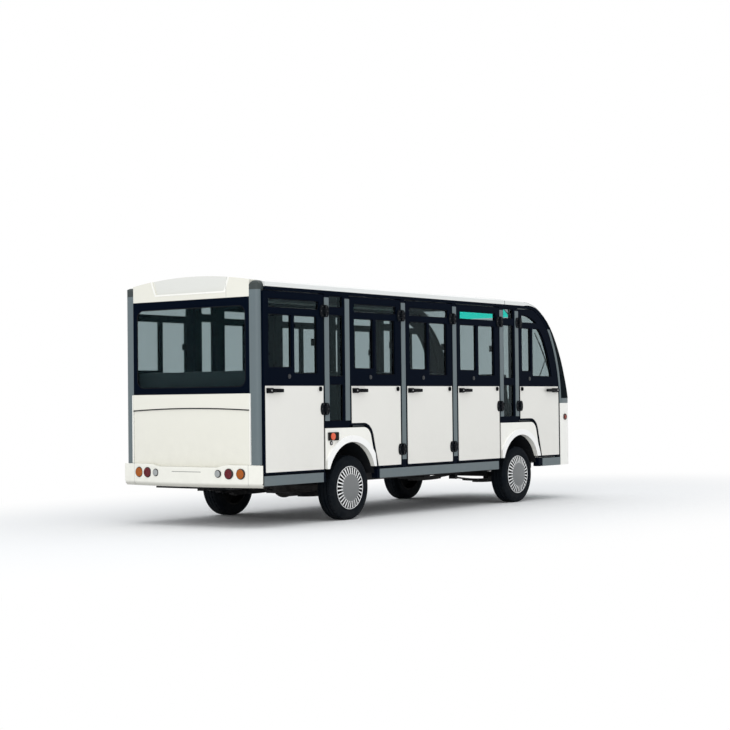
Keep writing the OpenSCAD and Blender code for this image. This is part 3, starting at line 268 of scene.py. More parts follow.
def copy_of(node, name, flat=flat_angle):
    """A merged copy of a construction piece, with flat faces joined up where flat is not zero."""
    piece = bpy.data.objects.new(name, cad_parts[node].data.copy())
    bpy.context.scene.collection.objects.link(piece)
    piece.data.materials.clear()
    take(piece)
    bpy.ops.mesh.customdata_custom_splitnormals_clear()
    edit_all(piece)
    bpy.ops.mesh.remove_doubles(threshold=merge_gap)
    if flat:
        bpy.ops.mesh.dissolve_limited(angle_limit=flat)
    close_mesh()
    return piece


def finish_modifier(piece, kind, **settings):
    """Adds one modifier with its settings and applies it."""
    take(piece)
    step = piece.modifiers.new(kind.lower(), kind)
    for label, value in settings.items():
        setattr(step, label, value)
    bpy.ops.object.modifier_apply(modifier=step.name)


def smoothed(piece, degrees):
    """Shades a piece smooth, apart from its sharper edges."""
    take(piece)
    bpy.ops.object.shade_smooth_by_angle(angle=math.radians(degrees))
    return piece


def rounded(piece, width, segments=2, corner=32):
    """Rounds the sharp edges of a piece and shades it."""
    smoothed(piece, corner)
    finish_modifier(piece, "BEVEL", width=width, segments=segments, limit_method="ANGLE",
                    angle_limit=math.radians(corner), harden_normals=True, miter_outer="MITER_ARC")
    return piece


def painted(piece, material):
    """Adds a finish to a piece."""
    piece.data.materials.append(material)
    return piece


def mount(piece, body, slot, *nodes):
    """Names the body that carries a piece and hides the nodes that it stands for; the slot is not used."""
    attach(piece, body)
    if nodes:
        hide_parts(*nodes)
    return piece


def fit(piece, body, material, slot, *nodes):
    """Gives a piece its finish and mounts it."""
    return mount(painted(piece, material), body, slot, *nodes)


def panel(node, material, slot, edge, segments=2):
    """A construction piece with rounded edges and its finish."""
    piece = rounded(copy_of(node, node + "_finished"), edge, segments)
    return fit(piece, "shuttle", material, slot, node)


def paint_faces(piece, material, chosen):
    """Another finish on the faces that chosen picks."""
    painted(piece, material)
    index = len(piece.data.materials) - 1
    for face in piece.data.polygons:
        if chosen(face):
            face.material_index = index


def gel(name, colour, rough, mottle, dust, coat=0.35, coat_rough=0.12):
    """The gloss of a moulded shell, over a faint ripple."""
    return surface(name, colour, rough, mottle, dust, 90.0, 0.00005,
                   Coat_Weight=coat, Coat_Roughness=coat_rough)


cream_paint = gel("cream_paint", (0.80, 0.785, 0.70), 0.3, 0.03, 0.25)
white_gel = gel("white_gel", (0.93, 0.92, 0.87), 0.28, 0.02, 0.1)
roof_gel = gel("roof_gel", (0.77, 0.785, 0.765), 0.3, 0.03, 0.25)
bumper_gel = gel("bumper_gel", (0.87, 0.86, 0.785), 0.3, 0.03, 0.2, 0.3, 0.15)
arch_gel = gel("arch_gel", (0.92, 0.91, 0.85), 0.3, 0.03, 0.2, 0.3, 0.15)
painted_lip_highlight = gel("painted_lip_highlight", (0.98, 0.975, 0.95), 0.28, 0.01, 0.04)
painted_recess_shade = surface("painted_recess_shade", (0.74, 0.74, 0.70), 0.4, 0.02, 0.1, 90.0, 0.00005)
felt = surface("felt_lining", (0.030, 0.046, 0.056), 0.9, 0.1, 0.0, 700.0, 0.0006, Sheen_Weight=0.3)
roof = panel("roof", roof_gel, "white_paint", edge=0.010, segments=3)
paint_faces(roof, felt, lambda face: face.normal.z < -0.6)
rim_x, recess_x, back_x = -2.5375, -2.526, -2.50
visor = panel("rear_visor", cream_paint, "white_paint", edge=0.004, segments=3)
# Painted highlight and shade: the raised rim round the visor's recess is painted brighter white, and the
# recess floor greyer.
paint_faces(visor, white_gel, lambda face: face.center.x < rim_x)
paint_faces(visor, painted_recess_shade, lambda face: recess_x < face.center.x < back_x and face.normal.x < -0.9)
panel("tail_panel", cream_paint, "white_paint", edge=0.003)


def pick_faces(piece, chosen):
    """Selects in edit mode the faces that chosen picks."""
    bpy.ops.object.mode_set(mode="EDIT")
    bpy.ops.mesh.select_all(action="DESELECT")
    close_mesh()
    for face in piece.data.polygons:
        face.select = chosen(face)
    bpy.ops.object.mode_set(mode="EDIT")


def extrude(step):
    """Draws the selected mesh out by a step."""
    bpy.ops.mesh.extrude_region_move(TRANSFORM_OT_translate={"value": step})


def facing(x=0, y=0, z=0):
    """A choice of the faces that point one way."""
    way = Vector((x, y, z))
    return lambda face: face.normal.dot(way) > 0.9


bumper = copy_of("rear_bumper", "rear_bumper_finished")
bumper_foot, foot_rise = 0.342, 0.022
foot_in, foot_drop, foot_narrow = 0.013, 0.010, 0.986
end_y, end_widen = 0.752, 1.024
edit_all(bumper)
bpy.ops.mesh.bisect(plane_co=(0, 0, bumper_foot + foot_rise), plane_no=(0, 0, 1))
pick_faces(bumper, lambda face: face.normal.z < -0.9 and face.center.z < bumper_foot)
bpy.ops.transform.translate(value=(foot_in, 0, -foot_drop))
bpy.ops.transform.resize(value=(1, foot_narrow, 1))
pick_faces(bumper, lambda face: abs(face.center.y) > end_y)
bpy.ops.transform.resize(value=(1, end_widen, 1), center_override=(0, 0, 0))
close_mesh()
finish_modifier(bumper, "REMESH", mode="VOXEL", voxel_size=0.005)
finish_modifier(bumper, "SMOOTH", factor=0.5, iterations=9)
take(bumper)
bpy.ops.object.shade_smooth()
fit(bumper, "shuttle", bumper_gel, "white_paint", "rear_bumper")
# Painted shade: the bumper's rounded foot turns grey towards its bottom edge, in place of the shade under the
# bumper.
painted_foot_shade = (0.50, 0.49, 0.44, 1)
shade_low, shade_high = bumper_foot + 0.004, bumper_foot + 0.026
gel_tree = bumper_gel.node_tree
gel_colour = gel_tree.nodes["Principled BSDF"].inputs["Base Color"]
clean_gel = gel_colour.links[0].from_socket
gel_place = add_node(gel_tree, "TexCoord").outputs["Object"]
gel_height = add_node(gel_tree, "SeparateXYZ", {"Vector": gel_place}).outputs["Z"]
shade_share = add_node(gel_tree, "MapRange", {
    "From Min": shade_low, "From Max": shade_high, "Value": gel_height})
gel_tree.links.new(mix_colour(gel_tree, shade_share.outputs["Result"], painted_foot_shade, clean_gel), gel_colour)

arches = copy_of("arch_panels", "arch_panels_finished")
lip_y, flush_y = 0.773, 0.7705
arch_x, arch_reach = (-1.329, 1.474), 0.45
fade_top, fade_height, fade_share = 0.62, 0.2, 0.75
for vertex in arches.data.vertices:
    spot = vertex.co
    ahead = any(0 < spot.x - middle < arch_reach for middle in arch_x)
    fade = min(max((fade_top - spot.z) / fade_height, 0.0), 1.0)
    if ahead and abs(spot.y) > flush_y:
        spot.y = math.copysign(flush_y + (abs(spot.y) - flush_y) * (1 - fade_share * fade), spot.y)
rounded(arches, width=0.008, segments=3)
fit(arches, "shuttle", arch_gel, "white_paint", "arch_panels")
# Painted highlight: the flared lip round each wheel opening is painted whiter than the rest of the arch
# panel.
paint_faces(arches, painted_lip_highlight, lambda face: abs(face.center.y) > lip_y)
panel("nose", white_gel, "white_paint", edge=0.0015)

# Panel joints
# Thin lines of dark sealant where the moulded shells meet: across the roof behind its front cap,
# down the visor and at the bumper's corner pieces. A dark line of painted shade runs along the crease in the
# bumper's middle.


def slice_of(node, name, low, high, lift=0.0, flat=flat_angle):
    """The part of a construction piece inside a box, raised from its surface by a lift."""
    piece = copy_of(node, name, flat)
    bpy.ops.object.mode_set(mode="EDIT")
    for axis in range(3):
        for bound, inner in ((low[axis], True), (high[axis], False)):
            if bound is None:
                continue
            normal = [0, 0, 0]
            normal[axis] = 1
            point = [0, 0, 0]
            point[axis] = bound
            bpy.ops.mesh.select_all(action="SELECT")
            bpy.ops.mesh.bisect(plane_co=point, plane_no=normal, use_fill=True, clear_inner=inner,
                                clear_outer=not inner)
    close_mesh()
    if lift:
        finish_modifier(piece, "DISPLACE", strength=lift, mid_level=0.0)
    return piece


sealant = surface("sealant", (0.52, 0.52, 0.49), 0.6, 0.05, 0.1, 500.0, 0.0002)
sealant_and_crease_shade = surface("sealant_and_crease_shade", (0.16, 0.16, 0.155), 0.6, 0.05, 0.1, 500.0, 0.0002)
joint_w = 0.0035
joint_lift = 0.0005
roof_joint_x = 1.21
visor_joint_y = 0.406
bumper_joint_y = 0.640
crease_x = -2.55
crease = ((-0.174, 0.4545), (0.151, 0.4585))
joints = [
    ("roof_joint", "roof", (roof_joint_x, None, None), (roof_joint_x + 2 * joint_w, None, None)),
    ("visor_joint", "rear_visor", (None, -visor_joint_y - joint_w, None), (None, -visor_joint_y, None)),
    ("bumper_joint_right", "rear_bumper", (None, -bumper_joint_y - joint_w, None),
     (None, -bumper_joint_y, None)),
    ("bumper_joint_left", "rear_bumper", (None, bumper_joint_y, None),
     (None, bumper_joint_y + joint_w, None)),
    ("bumper_crease", "rear_bumper", (None, *crease[0]), (crease_x, *crease[1])),
]
for name, node, low, high in joints:
    # The roof joint is dark sealant; the bumper's crease gets the same dark grey as painted shade.
    finish = sealant_and_crease_shade if name in ("roof_joint", "bumper_crease") else sealant
    fit(slice_of(node, name, low, high, joint_lift), "shuttle", finish, "white_paint")

# Tail band shadow and beads
# A dark strip of painted shadow under the lower edge of the arched band across the tail, and a white
# moulded bead down each side of the tail panel, where it meets the corner post.
# One dark rubber finish for the lamp seats, also used as painted shadow under the tail band.
rubber_and_band_shadow = surface("rubber_and_band_shadow", (0.030, 0.030, 0.029), 0.7, 0.08, 0.1, 500.0, 0.0002, gleam=0.1)
shadow_low, shadow_thick = 0.9, 0.009


def faces_of(node, name, chosen):
    """A new piece from the faces of a construction piece that chosen picks."""
    whole = copy_of(node, name)
    pick_faces(whole, chosen)
    bpy.ops.mesh.separate(type="SELECTED")
    close_mesh()
    piece = next(found for found in bpy.context.selected_objects if found != whole)
    bpy.data.objects.remove(whole)
    piece.name = name
    return take(piece)


# Painted shadow: the band's downward faces drawn down into a dark strip where its shadow falls.
tail_band_shadow = faces_of("tail_panel", "tail_band_shadow",
                     lambda face: face.normal.z < -0.7 and face.center.z > shadow_low)
finish_modifier(tail_band_shadow, "SOLIDIFY", thickness=shadow_thick, offset=1.0)
fit(tail_band_shadow, "shuttle", rubber_and_band_shadow, "black_plastic")


def block(name, low, high):
    """A cube moulded to a box, ready for shaping."""
    piece = started(name, bpy.ops.mesh.primitive_cube_add, size=1)
    low, high = Vector(low), Vector(high)
    edit_all(piece)
    bpy.ops.transform.resize(value=high - low)
    bpy.ops.transform.translate(value=(low + high) / 2)
    close_mesh()
    return piece


bead_low, bead_high = (-2.5485, 0.655, 0.519), (-2.534, 0.6665, 1.099)
bead_taper = (1, 0.6, 0.999)
sides = (("right", -1), ("left", 1))
for side, sign in sides:
    spots = [(x, sign * y, z) for x, y, z in (bead_low, bead_high)]
    ends = [[pick(spot[axis] for spot in spots) for axis in range(3)] for pick in (min, max)]
    bead = block(f"tail_bead_{side}", *ends)
    pick_faces(bead, facing(x=-1))
    bpy.ops.transform.resize(value=bead_taper)
    close_mesh()
    fit(rounded(bead, width=0.002), "shuttle", white_gel, "white_paint")

# Brow and sun band
# The front cap of the roof, a moulded shell lined with felt. A window of clear green acrylic is
# let into the middle of its front edge, above the windscreen, with a clear strip on each side.
band_right, band_left, band_high = -0.36, 0.36, 1.985
clear_y = 0.62


def joined(name, pieces):
    """Several finished pieces as one."""
    take(pieces[0])
    for piece in pieces:
        piece.select_set(True)
    bpy.ops.object.join()
    pieces[0].name = name
    return pieces[0]


def see_through(name, colour, rough, bend):
    """A clear material with its tint, roughness and refraction."""
    made = bpy.data.materials.new(name)
    made.use_nodes = True
    shader = made.node_tree.nodes["Principled BSDF"]
    shader.inputs["Base Color"].default_value = (*colour, 1)
    shader.inputs["Roughness"].default_value = rough
    shader.inputs["IOR"].default_value = bend
    shader.inputs["Transmission Weight"].default_value = 1.0
    return made


green_acrylic = see_through("green_acrylic", (0.015, 1.0, 0.80), 0.05, 1.15)
shell = [
    slice_of("brow", "brow_finished", (None, None, band_high), (None, None, None)),
    slice_of("brow", "brow_right", (None, None, None), (None, -clear_y, band_high)),
    slice_of("brow", "brow_left", (None, clear_y, None), (None, None, band_high)),
]
brow = smoothed(joined("brow_finished", shell), 32)
fit(brow, "shuttle", roof_gel, "white_paint", "brow")
paint_faces(brow, felt, lambda face: face.normal.z < -0.3)
sun_band = slice_of("brow", "sun_band", (None, band_right, None), (None, band_left, band_high))
fit(sun_band, "shuttle", green_acrylic, "tinted_glass")
clear_band = joined("clear_band", [
    slice_of("brow", "clear_band", (None, -clear_y, None), (None, band_right, band_high)),
    slice_of("brow", "clear_band_left", (None, band_left, None), (None, clear_y, band_high)),
])

# Side frame
# Black coated posts, sills and rails of folded sheet, with satin slate strips on the pillars,
# sills and rear corners. The corner posts end in moulded dark caps.
black_coat = surface("black_coat", (0.0012, 0.0035, 0.0095), 0.42, 0.1, 0.02, 160.0, 0.00006, gleam=0.012)
slate_coat = surface("slate_coat", (0.125, 0.158, 0.170), 0.42, 0.05, 0.12, 220.0, 0.00008, gleam=0.3)
cap_plastic = surface("cap_plastic", (0.040, 0.050, 0.050), 0.5, 0.06, 0.1, 420.0, 0.0002, gleam=0.3)
for node in ("side_posts", "rockers", "cant_rails", "rear_surround"):
    panel(node, black_coat, "black_frame", edge=0.0018)
panel("trim_strips", slate_coat, "slate_trim", edge=0.0016)
cap_z = 1.946
corner_posts = copy_of("corner_posts", "corner_posts_finished")
edit_all(corner_posts)
bpy.ops.mesh.bisect(plane_co=(0, 0, cap_z), plane_no=(0, 0, 1))
close_mesh()
rounded(corner_posts, width=0.003)
fit(corner_posts, "shuttle", slate_coat, "slate_trim", "corner_posts")
paint_faces(corner_posts, cap_plastic, lambda face: face.center.z > cap_z)

# Glass
# Lightly tinted safety glass. The panes of doors, quarters and tail sit in thin black rubber
# gaskets, and the windscreen has a dark printed border at its sides.
tinted_glass = see_through("tinted_glass", (0.47, 0.53, 0.54), 0.0, 1.16)
sheen = tinted_glass.node_tree.nodes["Principled BSDF"].inputs["Specular Tint"]
sheen.default_value = (0.25, 0.85, 1.0, 1)
doors = [(side, sign, n) for side, sign in sides for n in ("1", "2", "3", "4", "5")]
glass_nodes = ["fixed_glass", "windscreen"] + [f"glass_{side}_{n}" for side, sign, n in doors]
for node in glass_nodes:
    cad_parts[node].material_slots[0].material = tinted_glass
fit(clear_band, "shuttle", tinted_glass, "tinted_glass")
frit = surface("windscreen_border", (0.0025, 0.0055, 0.008), 0.5, 0.05, 0.02, 300.0, 0.00002, gleam=0.01)
border_y, border_lift = 0.70, 0.0016
for name, low, high in (
    ("right", (None, None, None), (None, -border_y, None)),
    ("left", (None, border_y, None), (None, None, None)),
):
    border = slice_of("windscreen", f"windscreen_border_{name}", low, high, border_lift, 0)
    fit(border, "shuttle", frit, "black_plastic")


def pane_ring(node, name, way, width):
    """A closed ring round each pane of a glass piece, on the side that points one way."""
    piece = faces_of(node, name, facing(*way))
    edit_all(piece)
    bpy.ops.mesh.inset(thickness=width, use_individual=True)
    bpy.ops.mesh.delete(type="FACE")
    close_mesh()
    finish_modifier(piece, "SOLIDIFY", thickness=gasket_d, offset=1.0)
    return piece


gasket_rubber = surface("gasket_rubber", (0.004, 0.005, 0.007), 0.65, 0.1, 0.04, 600.0, 0.0002, gleam=0.12)
gasket_w, gasket_d, rear_gasket_w = 0.004, 0.004, 0.007
for side, sign, n in doors:
    for label, way in (("outer", sign), ("inner", -sign)):
        ring = pane_ring(f"glass_{side}_{n}", f"gasket_{side}_{n}_{label}", (0, way, 0), gasket_w)
        fit(ring, f"door_{side}_{n}", gasket_rubber, "black_plastic")
for side, sign in sides:
    quarter = pane_ring("fixed_glass", f"gasket_quarter_{side}", (0, sign, 0), gasket_w)
    fit(quarter, "shuttle", gasket_rubber, "black_plastic")
rear_gasket = pane_ring("fixed_glass", "gasket_rear", (-1, 0, 0), rear_gasket_w)
fit(rear_gasket, "shuttle", gasket_rubber, "black_plastic")

# Doors
# Each leaf is a black coated frame with a flat white skin below the waist. The skin stands a few
# millimetres proud of the frame and has a rolled edge.
door_white = surface("door_white", (0.81, 0.795, 0.745), 0.34, 0.02, 0.15, 120.0, 0.00004,
                     Coat_Weight=0.25, Coat_Roughness=0.15)
skin_y, leaf_y = 0.770, 0.766
waist_z = 1.160
hair, skin_gap = 0.0005, 0.0004


def leaf_only(node, name, limit):
    """A door's copy without the handle and hinge halves that stand out of its skin."""
    piece = copy_of(node, name)
    points = piece.data.vertices
    pick_faces(piece, lambda face: any(abs(points[i].co.y) > limit for i in face.vertices))
    bpy.ops.mesh.delete(type="FACE")
    bpy.ops.mesh.select_all(action="SELECT")
    bpy.ops.mesh.fill_holes(sides=0)
    bpy.ops.mesh.select_all(action="SELECT")
    bpy.ops.mesh.dissolve_limited(angle_limit=flat_angle)
    close_mesh()
    return piece


for side, sign, n in doors:
    node = f"door_{side}_{n}"
    leaf = rounded(leaf_only(node, f"leaf_{side}_{n}", skin_y + hair), width=0.0016)
    fit(leaf, node, black_coat, "door_paint", node)
    paint_faces(leaf, door_white,
                lambda face: abs(face.center.y) > leaf_y + skin_gap and face.center.z < waist_z + hair)

# Door cards
# A dark grey moulded card with a raised field lines the inside of every door below the waist,
# clipped to the frame of the leaf.
card_grey = surface("card_grey", (0.045, 0.055, 0.062), 0.6, 0.06, 0.05, 420.0, 0.0003)
card_x = {"1": (-2.41, -1.77), "2": (-1.25, -0.64), "3": (-0.41, 0.20), "4": (0.43, 1.04), "5": (1.56, 2.12)}
card_low, card_high = 0.74, 1.085
card_y = (0.7245, 0.7310)
field_margin, field_slope, field_rise = 0.045, 0.006, 0.004
for side, sign, n in doors:
    ends = sorted(sign * y for y in card_y)
    rear_x, front_x = card_x[n]
    card = block(f"card_{side}_{n}", (rear_x, ends[0], card_low), (front_x, ends[1], card_high))
    pick_faces(card, facing(y=-sign))
    bpy.ops.mesh.inset(thickness=field_margin, depth=0.0)
    bpy.ops.mesh.inset(thickness=field_slope, depth=field_rise)
    close_mesh()
    fit(rounded(card, width=0.002), f"door_{side}_{n}", card_grey, "black_plastic")

# Door hinges
# Black powder coated hinges with a half-oval leaf on the door and one on the pillar, a knuckle
# with a pin between them and three countersunk screws in each leaf.
hinge_coat = surface("hinge_coat", (0.002, 0.0035, 0.006), 0.42, 0.08, 0.01, 380.0, 0.0002, gleam=0.06)
screw_steel = surface("screw_steel", (0.10, 0.10, 0.105), 0.4, 0.06, 0.1, 700.0, 0.00005, Metallic=0.9)
hinge_h, hinge_in, hinge_flat, hinge_bow = 0.102, 0.010, 0.026, 0.0255
pivot_y, barrel_r, plate_y = 0.780, 0.009, 0.7755
plate_sink = 0.002
head_rim, head_slope, head_rise = 0.003, 0.0006, 0.0003
web = (hinge_in - 0.002, 0.0035, 0)
screw_r, screw_h = 0.0042, 0.0012
head_shares = ((0.25, 0.3), (0.35, 0.0), (0.05, -0.4))
screw_spots = ((0.014, 0.36), (0.034, 0.0), (0.014, -0.36))
hinge_x = {"1": -1.692, "2": -0.565, "3": 0.274, "4": 1.113, "5": 1.471}
hinge_low_z = {"1": 0.965, "2": 0.591, "3": 0.591, "4": 0.965, "5": 0.965}
hinge_high_z = 1.797
leaf_way = {"1": -1, "2": -1, "3": -1, "4": -1, "5": 1}


def disc(name, radius, depth, points):
    """A short round bar along the Y axis, left open in edit mode."""
    piece = started(name, bpy.ops.mesh.primitive_cylinder_add, vertices=points, radius=radius, depth=depth)
    edit_all(piece)
    bpy.ops.transform.rotate(value=math.pi / 2, orient_axis="X", center_override=(0, 0, 0))
    return piece


def half_oval(name, back_y):
    """A plate with one flat side and one half-oval side, its flat side on the plane of the pin."""
    piece = disc(name, hinge_h / 2, plate_y - back_y, 40)
    bpy.ops.mesh.bisect(plane_co=(0, 0, 0), plane_no=(1, 0, 0), use_fill=True, clear_inner=True)
    bpy.ops.mesh.select_all(action="SELECT")
    bpy.ops.transform.resize(value=(hinge_bow / (hinge_h / 2), 1, 1), center_override=(0, 0, 0))
    bpy.ops.transform.translate(value=(hinge_in + hinge_flat, -(plate_y + back_y) / 2, 0))
    pick_faces(piece, facing(x=-1))
    extrude((-hinge_flat, 0, 0))
    close_mesh()
    return rounded(piece, width=0.0015)


def knuckle(name, low, high):
    """A length of the hinge barrel with a shallow pin head at each end and a web to the leaf."""
    piece = started(name, bpy.ops.mesh.primitive_cylinder_add, vertices=28, radius=barrel_r,
                    depth=high - low, location=(0, -pivot_y, (low + high) / 2))
    bpy.ops.object.transform_apply(location=True, rotation=False, scale=False)
    pick_faces(piece, lambda face: abs(face.normal.z) > 0.9)
    bpy.ops.mesh.inset(thickness=head_rim, use_individual=True)
    bpy.ops.mesh.inset(thickness=head_slope, depth=head_rise, use_individual=True)
    pick_faces(piece, lambda face: face.normal.x > 0.75 and abs(face.normal.z) < 0.1)
    extrude(web)
    close_mesh()
    return rounded(piece, width=0.0007)


def screw(name, place, radius, height):
    """A round head with a sunk middle, facing out of the right side."""
    piece = disc(name, radius, height, 24)
    bpy.ops.transform.translate(value=place)
    pick_faces(piece, facing(y=-1))
    for margin_share, rise_share in head_shares:
        bpy.ops.mesh.inset(thickness=radius * margin_share, depth=height * rise_share, use_individual=True)
    close_mesh()
    return smoothed(piece, 35)


def placed(template, name, x, y, z, x_way, y_way):
    """A copy of a right-hand piece with its own mesh, mirrored where the ways are negative."""
    piece = bpy.data.objects.new(name, template.data.copy())
    bpy.context.scene.collection.objects.link(piece)
    piece.data.transform(Matrix.Translation((x, y, z)) @ Matrix.Diagonal((x_way, y_way, 1, 1)))
    if x_way * y_way < 0:
        piece.data.flip_normals()
    return piece


def screwed_plate(name, back_y, lengths):
    """One leaf of a hinge with its lengths of barrel and three screws."""
    parts = [half_oval(name, back_y)]
    parts += [knuckle(f"{name}_knuckle", low * hinge_h, high * hinge_h) for low, high in lengths]
    heads = [screw(f"{name}_screw", (hinge_in + run, -plate_y, rise * hinge_h), screw_r, screw_h)
             for run, rise in screw_spots]
    coated = [painted(part, hinge_coat) for part in parts]
    return joined(name, coated + [painted(head, screw_steel) for head in heads])


door_leaf = screwed_plate("hinge_door", leaf_y - plate_sink, ((-1 / 6, 1 / 6),))
post_leaf = screwed_plate("hinge_post", skin_y - plate_sink, ((-0.5, -0.18), (0.18, 0.5)))
fixed_leaves = []
for side, sign, n in doors:
    for height in (hinge_high_z, hinge_low_z[n]):
        tag = f"{side}_{n}_{int(height * 1000)}"
        moving = placed(door_leaf, f"hinge_{tag}", hinge_x[n], 0, height, leaf_way[n], -sign)
        mount(moving, f"door_{side}_{n}", "black_plastic")
        fixed = placed(post_leaf, f"hinge_post_{tag}", hinge_x[n], 0, height, -leaf_way[n], -sign)
        fixed_leaves.append(fixed)
mount(joined("hinge_leaves_finished", fixed_leaves), "shuttle", "black_plastic", "hinge_leaves")
for template in (door_leaf, post_leaf):
    bpy.data.objects.remove(template)

# Door handles
# A black moulded pull handle at the waist near the free edge of every door: a rounded base with a
# key lock, and a tapered lever that stands off the skin, with a flatter one on the inside.
handle_black = surface("handle_black", (0.003, 0.0036, 0.005), 0.4, 0.06, 0.02, 450.0, 0.00015, gleam=0.05)
lock_steel = surface("lock_steel", (0.45, 0.45, 0.46), 0.3, 0.05, 0.05, 900.0, 0.00004, Metallic=1.0)
handle_z = 1.121
handle_x = {"1": -2.466, "2": -1.306, "3": -0.467, "4": 0.372, "5": 2.2354}
handle_way = {"1": 1, "2": 1, "3": 1, "4": 1, "5": -1.4}
base_w, base_h, base_y, base_sink = 0.0855, 0.046, 0.789, 0.001
lever_start, lever_end, lever_h = 0.008, 0.190, 0.031
lever_low, lever_face = 0.7835, 0.802
bend_x, bend_out, bend_back = 0.06, 0.005, 0.001
lock_r, lock_h, lock_x = 0.0065, 0.003, base_w / 2 - 0.008
inner_x, inner_y, inner_flat = 0.05, 1.192, 0.6
base_taper, lever_taper = (0.9, 1, 0.82), (1, 0.8, 0.9)
base = block("handle_base", (0, -base_y, -base_h / 2), (base_w, -skin_y + base_sink, base_h / 2))
pick_faces(base, facing(y=-1))
bpy.ops.transform.resize(value=base_taper)
close_mesh()
rounded(base, width=0.006, segments=3)
lever = block("handle_lever", (lever_start, -lever_face, -lever_h / 2), (base_w, -lever_low, lever_h / 2))
pick_faces(lever, facing(x=1))
for step in ((bend_x, -bend_out, 0), (lever_end - base_w - bend_x, bend_back, 0)):
    extrude(step)
bpy.ops.transform.resize(value=lever_taper)
close_mesh()
rounded(lever, width=0.004, segments=3)
key_lock = screw("handle_lock", (lock_x, -lever_face, 0), lock_r, lock_h)
painted(key_lock, lock_steel)
handle = joined("handle", [painted(base, handle_black), painted(lever, handle_black), key_lock])
for side, sign, n in doors:
    grip = placed(handle, f"handle_{side}_{n}", handle_x[n], 0, handle_z, handle_way[n], -sign)
    inner = placed(handle, f"handle_in_{side}_{n}", handle_x[n] + inner_x * handle_way[n], sign * inner_y,
                   handle_z, handle_way[n], sign * inner_flat)
    for piece in (grip, inner):
        mount(piece, f"door_{side}_{n}", "black_plastic")
bpy.data.objects.remove(handle)

# Door buttons and pane latches
# A black domed stop near the hinge of every white skin, a round dark lock button under the window
# and a moulded latch on the front edge of each sliding pane.
button_dark = surface("button_dark", (0.012, 0.016, 0.020), 0.45, 0.06, 0.05, 500.0, 0.0001)
stop_z = 1.135
stop_x = {"1": -1.760, "2": -0.633, "3": 0.206, "4": 1.045, "5": 1.516}
button_z = 1.238
button_x = {"1": -2.1625, "2": -1.0325, "3": -0.2125, "4": 0.6375, "5": 1.6775}
latch_z = 1.53
latch_x = {"1": -1.784, "2": -0.657, "3": 0.182, "4": 1.021}
pane_y = 0.7455
stop_r, stop_h, stop_out, stop_tall = 0.014, 0.016, 0.007, 1.42
button_r, button_h, button_out = 0.019, 0.005, 0.001
latch_w, latch_d, latch_half = 0.045, 0.015, 0.030
stop = disc("door_stop", stop_r, stop_h, 36)
bpy.ops.transform.resize(value=(1, 1, stop_tall), center_override=(0, 0, 0))
bpy.ops.transform.translate(value=(0, -skin_y - stop_out, 0))
pick_faces(stop, facing(y=-1))
for margin, rise in ((0.0025, 0.0025), (0.004, 0.0015)):
    bpy.ops.mesh.inset(thickness=margin, depth=rise)
close_mesh()
painted(smoothed(stop, 40), handle_black)
button = painted(screw("lock_button", (0, -leaf_y - button_out, 0), button_r, button_h), button_dark)
latch = block("pane_latch", (-latch_w, -pane_y, -latch_half), (0, -pane_y + latch_d, latch_half))
pick_faces(latch, facing(y=1))
for margin, rise in ((0.006, 0.004), (0.004, -0.003)):
    bpy.ops.mesh.inset(thickness=margin, depth=rise)
close_mesh()
painted(rounded(latch, width=0.002), handle_black)
for side, sign, n in doors:
    fittings = [placed(stop, f"stop_{side}_{n}", stop_x[n], 0, stop_z, 1, -sign),
                placed(button, f"button_{side}_{n}", button_x[n], 0, button_z, 1, -sign)]
    if n in latch_x:
        fittings.append(placed(latch, f"latch_{side}_{n}", latch_x[n], 0, latch_z, 1, -sign))
    for piece in fittings:
        mount(piece, f"door_{side}_{n}", "black_plastic")
for template in (stop, button, latch):
    bpy.data.objects.remove(template)

# Wheels
# Road tyres with a rounded shoulder, three grooves round the tread and short slots across the
# shoulders, on steel wheels hidden by a moulded cover: a bright rim, a ring of bright fins over
# dark slots and a domed grey centre.
rubber = surface("tyre_rubber", (0.0028, 0.0052, 0.0085), 0.7, 0.12, 0.03, 260.0, 0.0003, gleam=0.06)
silver = surface("silver_cover", (0.93, 0.94, 0.94), 0.22, 0.02, 0.03, 500.0, 0.00005, Metallic=0.35)
disc_grey = surface("disc_grey", (0.175, 0.183, 0.187), 0.42, 0.05, 0.1, 500.0, 0.00006, Metallic=0.3)
slot_black = surface("slot_black", (0.006, 0.007, 0.008), 0.7, 0.1, 0.05, 400.0, 0.0002, gleam=0.1)
tyre_r, tyre_w, rim_r = 0.279, 0.165, 0.178
groove_w, groove_d, groove_y = 0.007, 0.007, (0.036, 0.0, -0.036)
tread_half = 0.056
turns, slot_every = 108, 3
slot_margin, slot_depth = 0.0025, 0.005
shoulder_in, shoulder_out, shoulder_drop = 0.04, tread_half + 0.009, 0.004


def spun(name, points, steps):
    """A ring about the Y axis from a profile of distances along and from the axis."""
    piece = started(name, bpy.ops.mesh.primitive_plane_add, size=0.01)
    edit_all(piece)
    bpy.ops.mesh.merge(type="CENTER")
    bpy.ops.transform.translate(value=(points[0][1], points[0][0], 0))
    for start, end in zip(points, points[1:]):
        step = (end[1] - start[1], end[0] - start[0], 0)
        extrude(step)
    bpy.ops.mesh.select_all(action="SELECT")
    bpy.ops.mesh.spin(steps=steps, angle=2 * math.pi, center=(0, 0, 0), axis=(0, 1, 0))
    bpy.ops.mesh.select_all(action="SELECT")
    bpy.ops.mesh.remove_doubles(threshold=merge_gap)
    bpy.ops.mesh.normals_make_consistent(inside=False)
    close_mesh()
    return piece


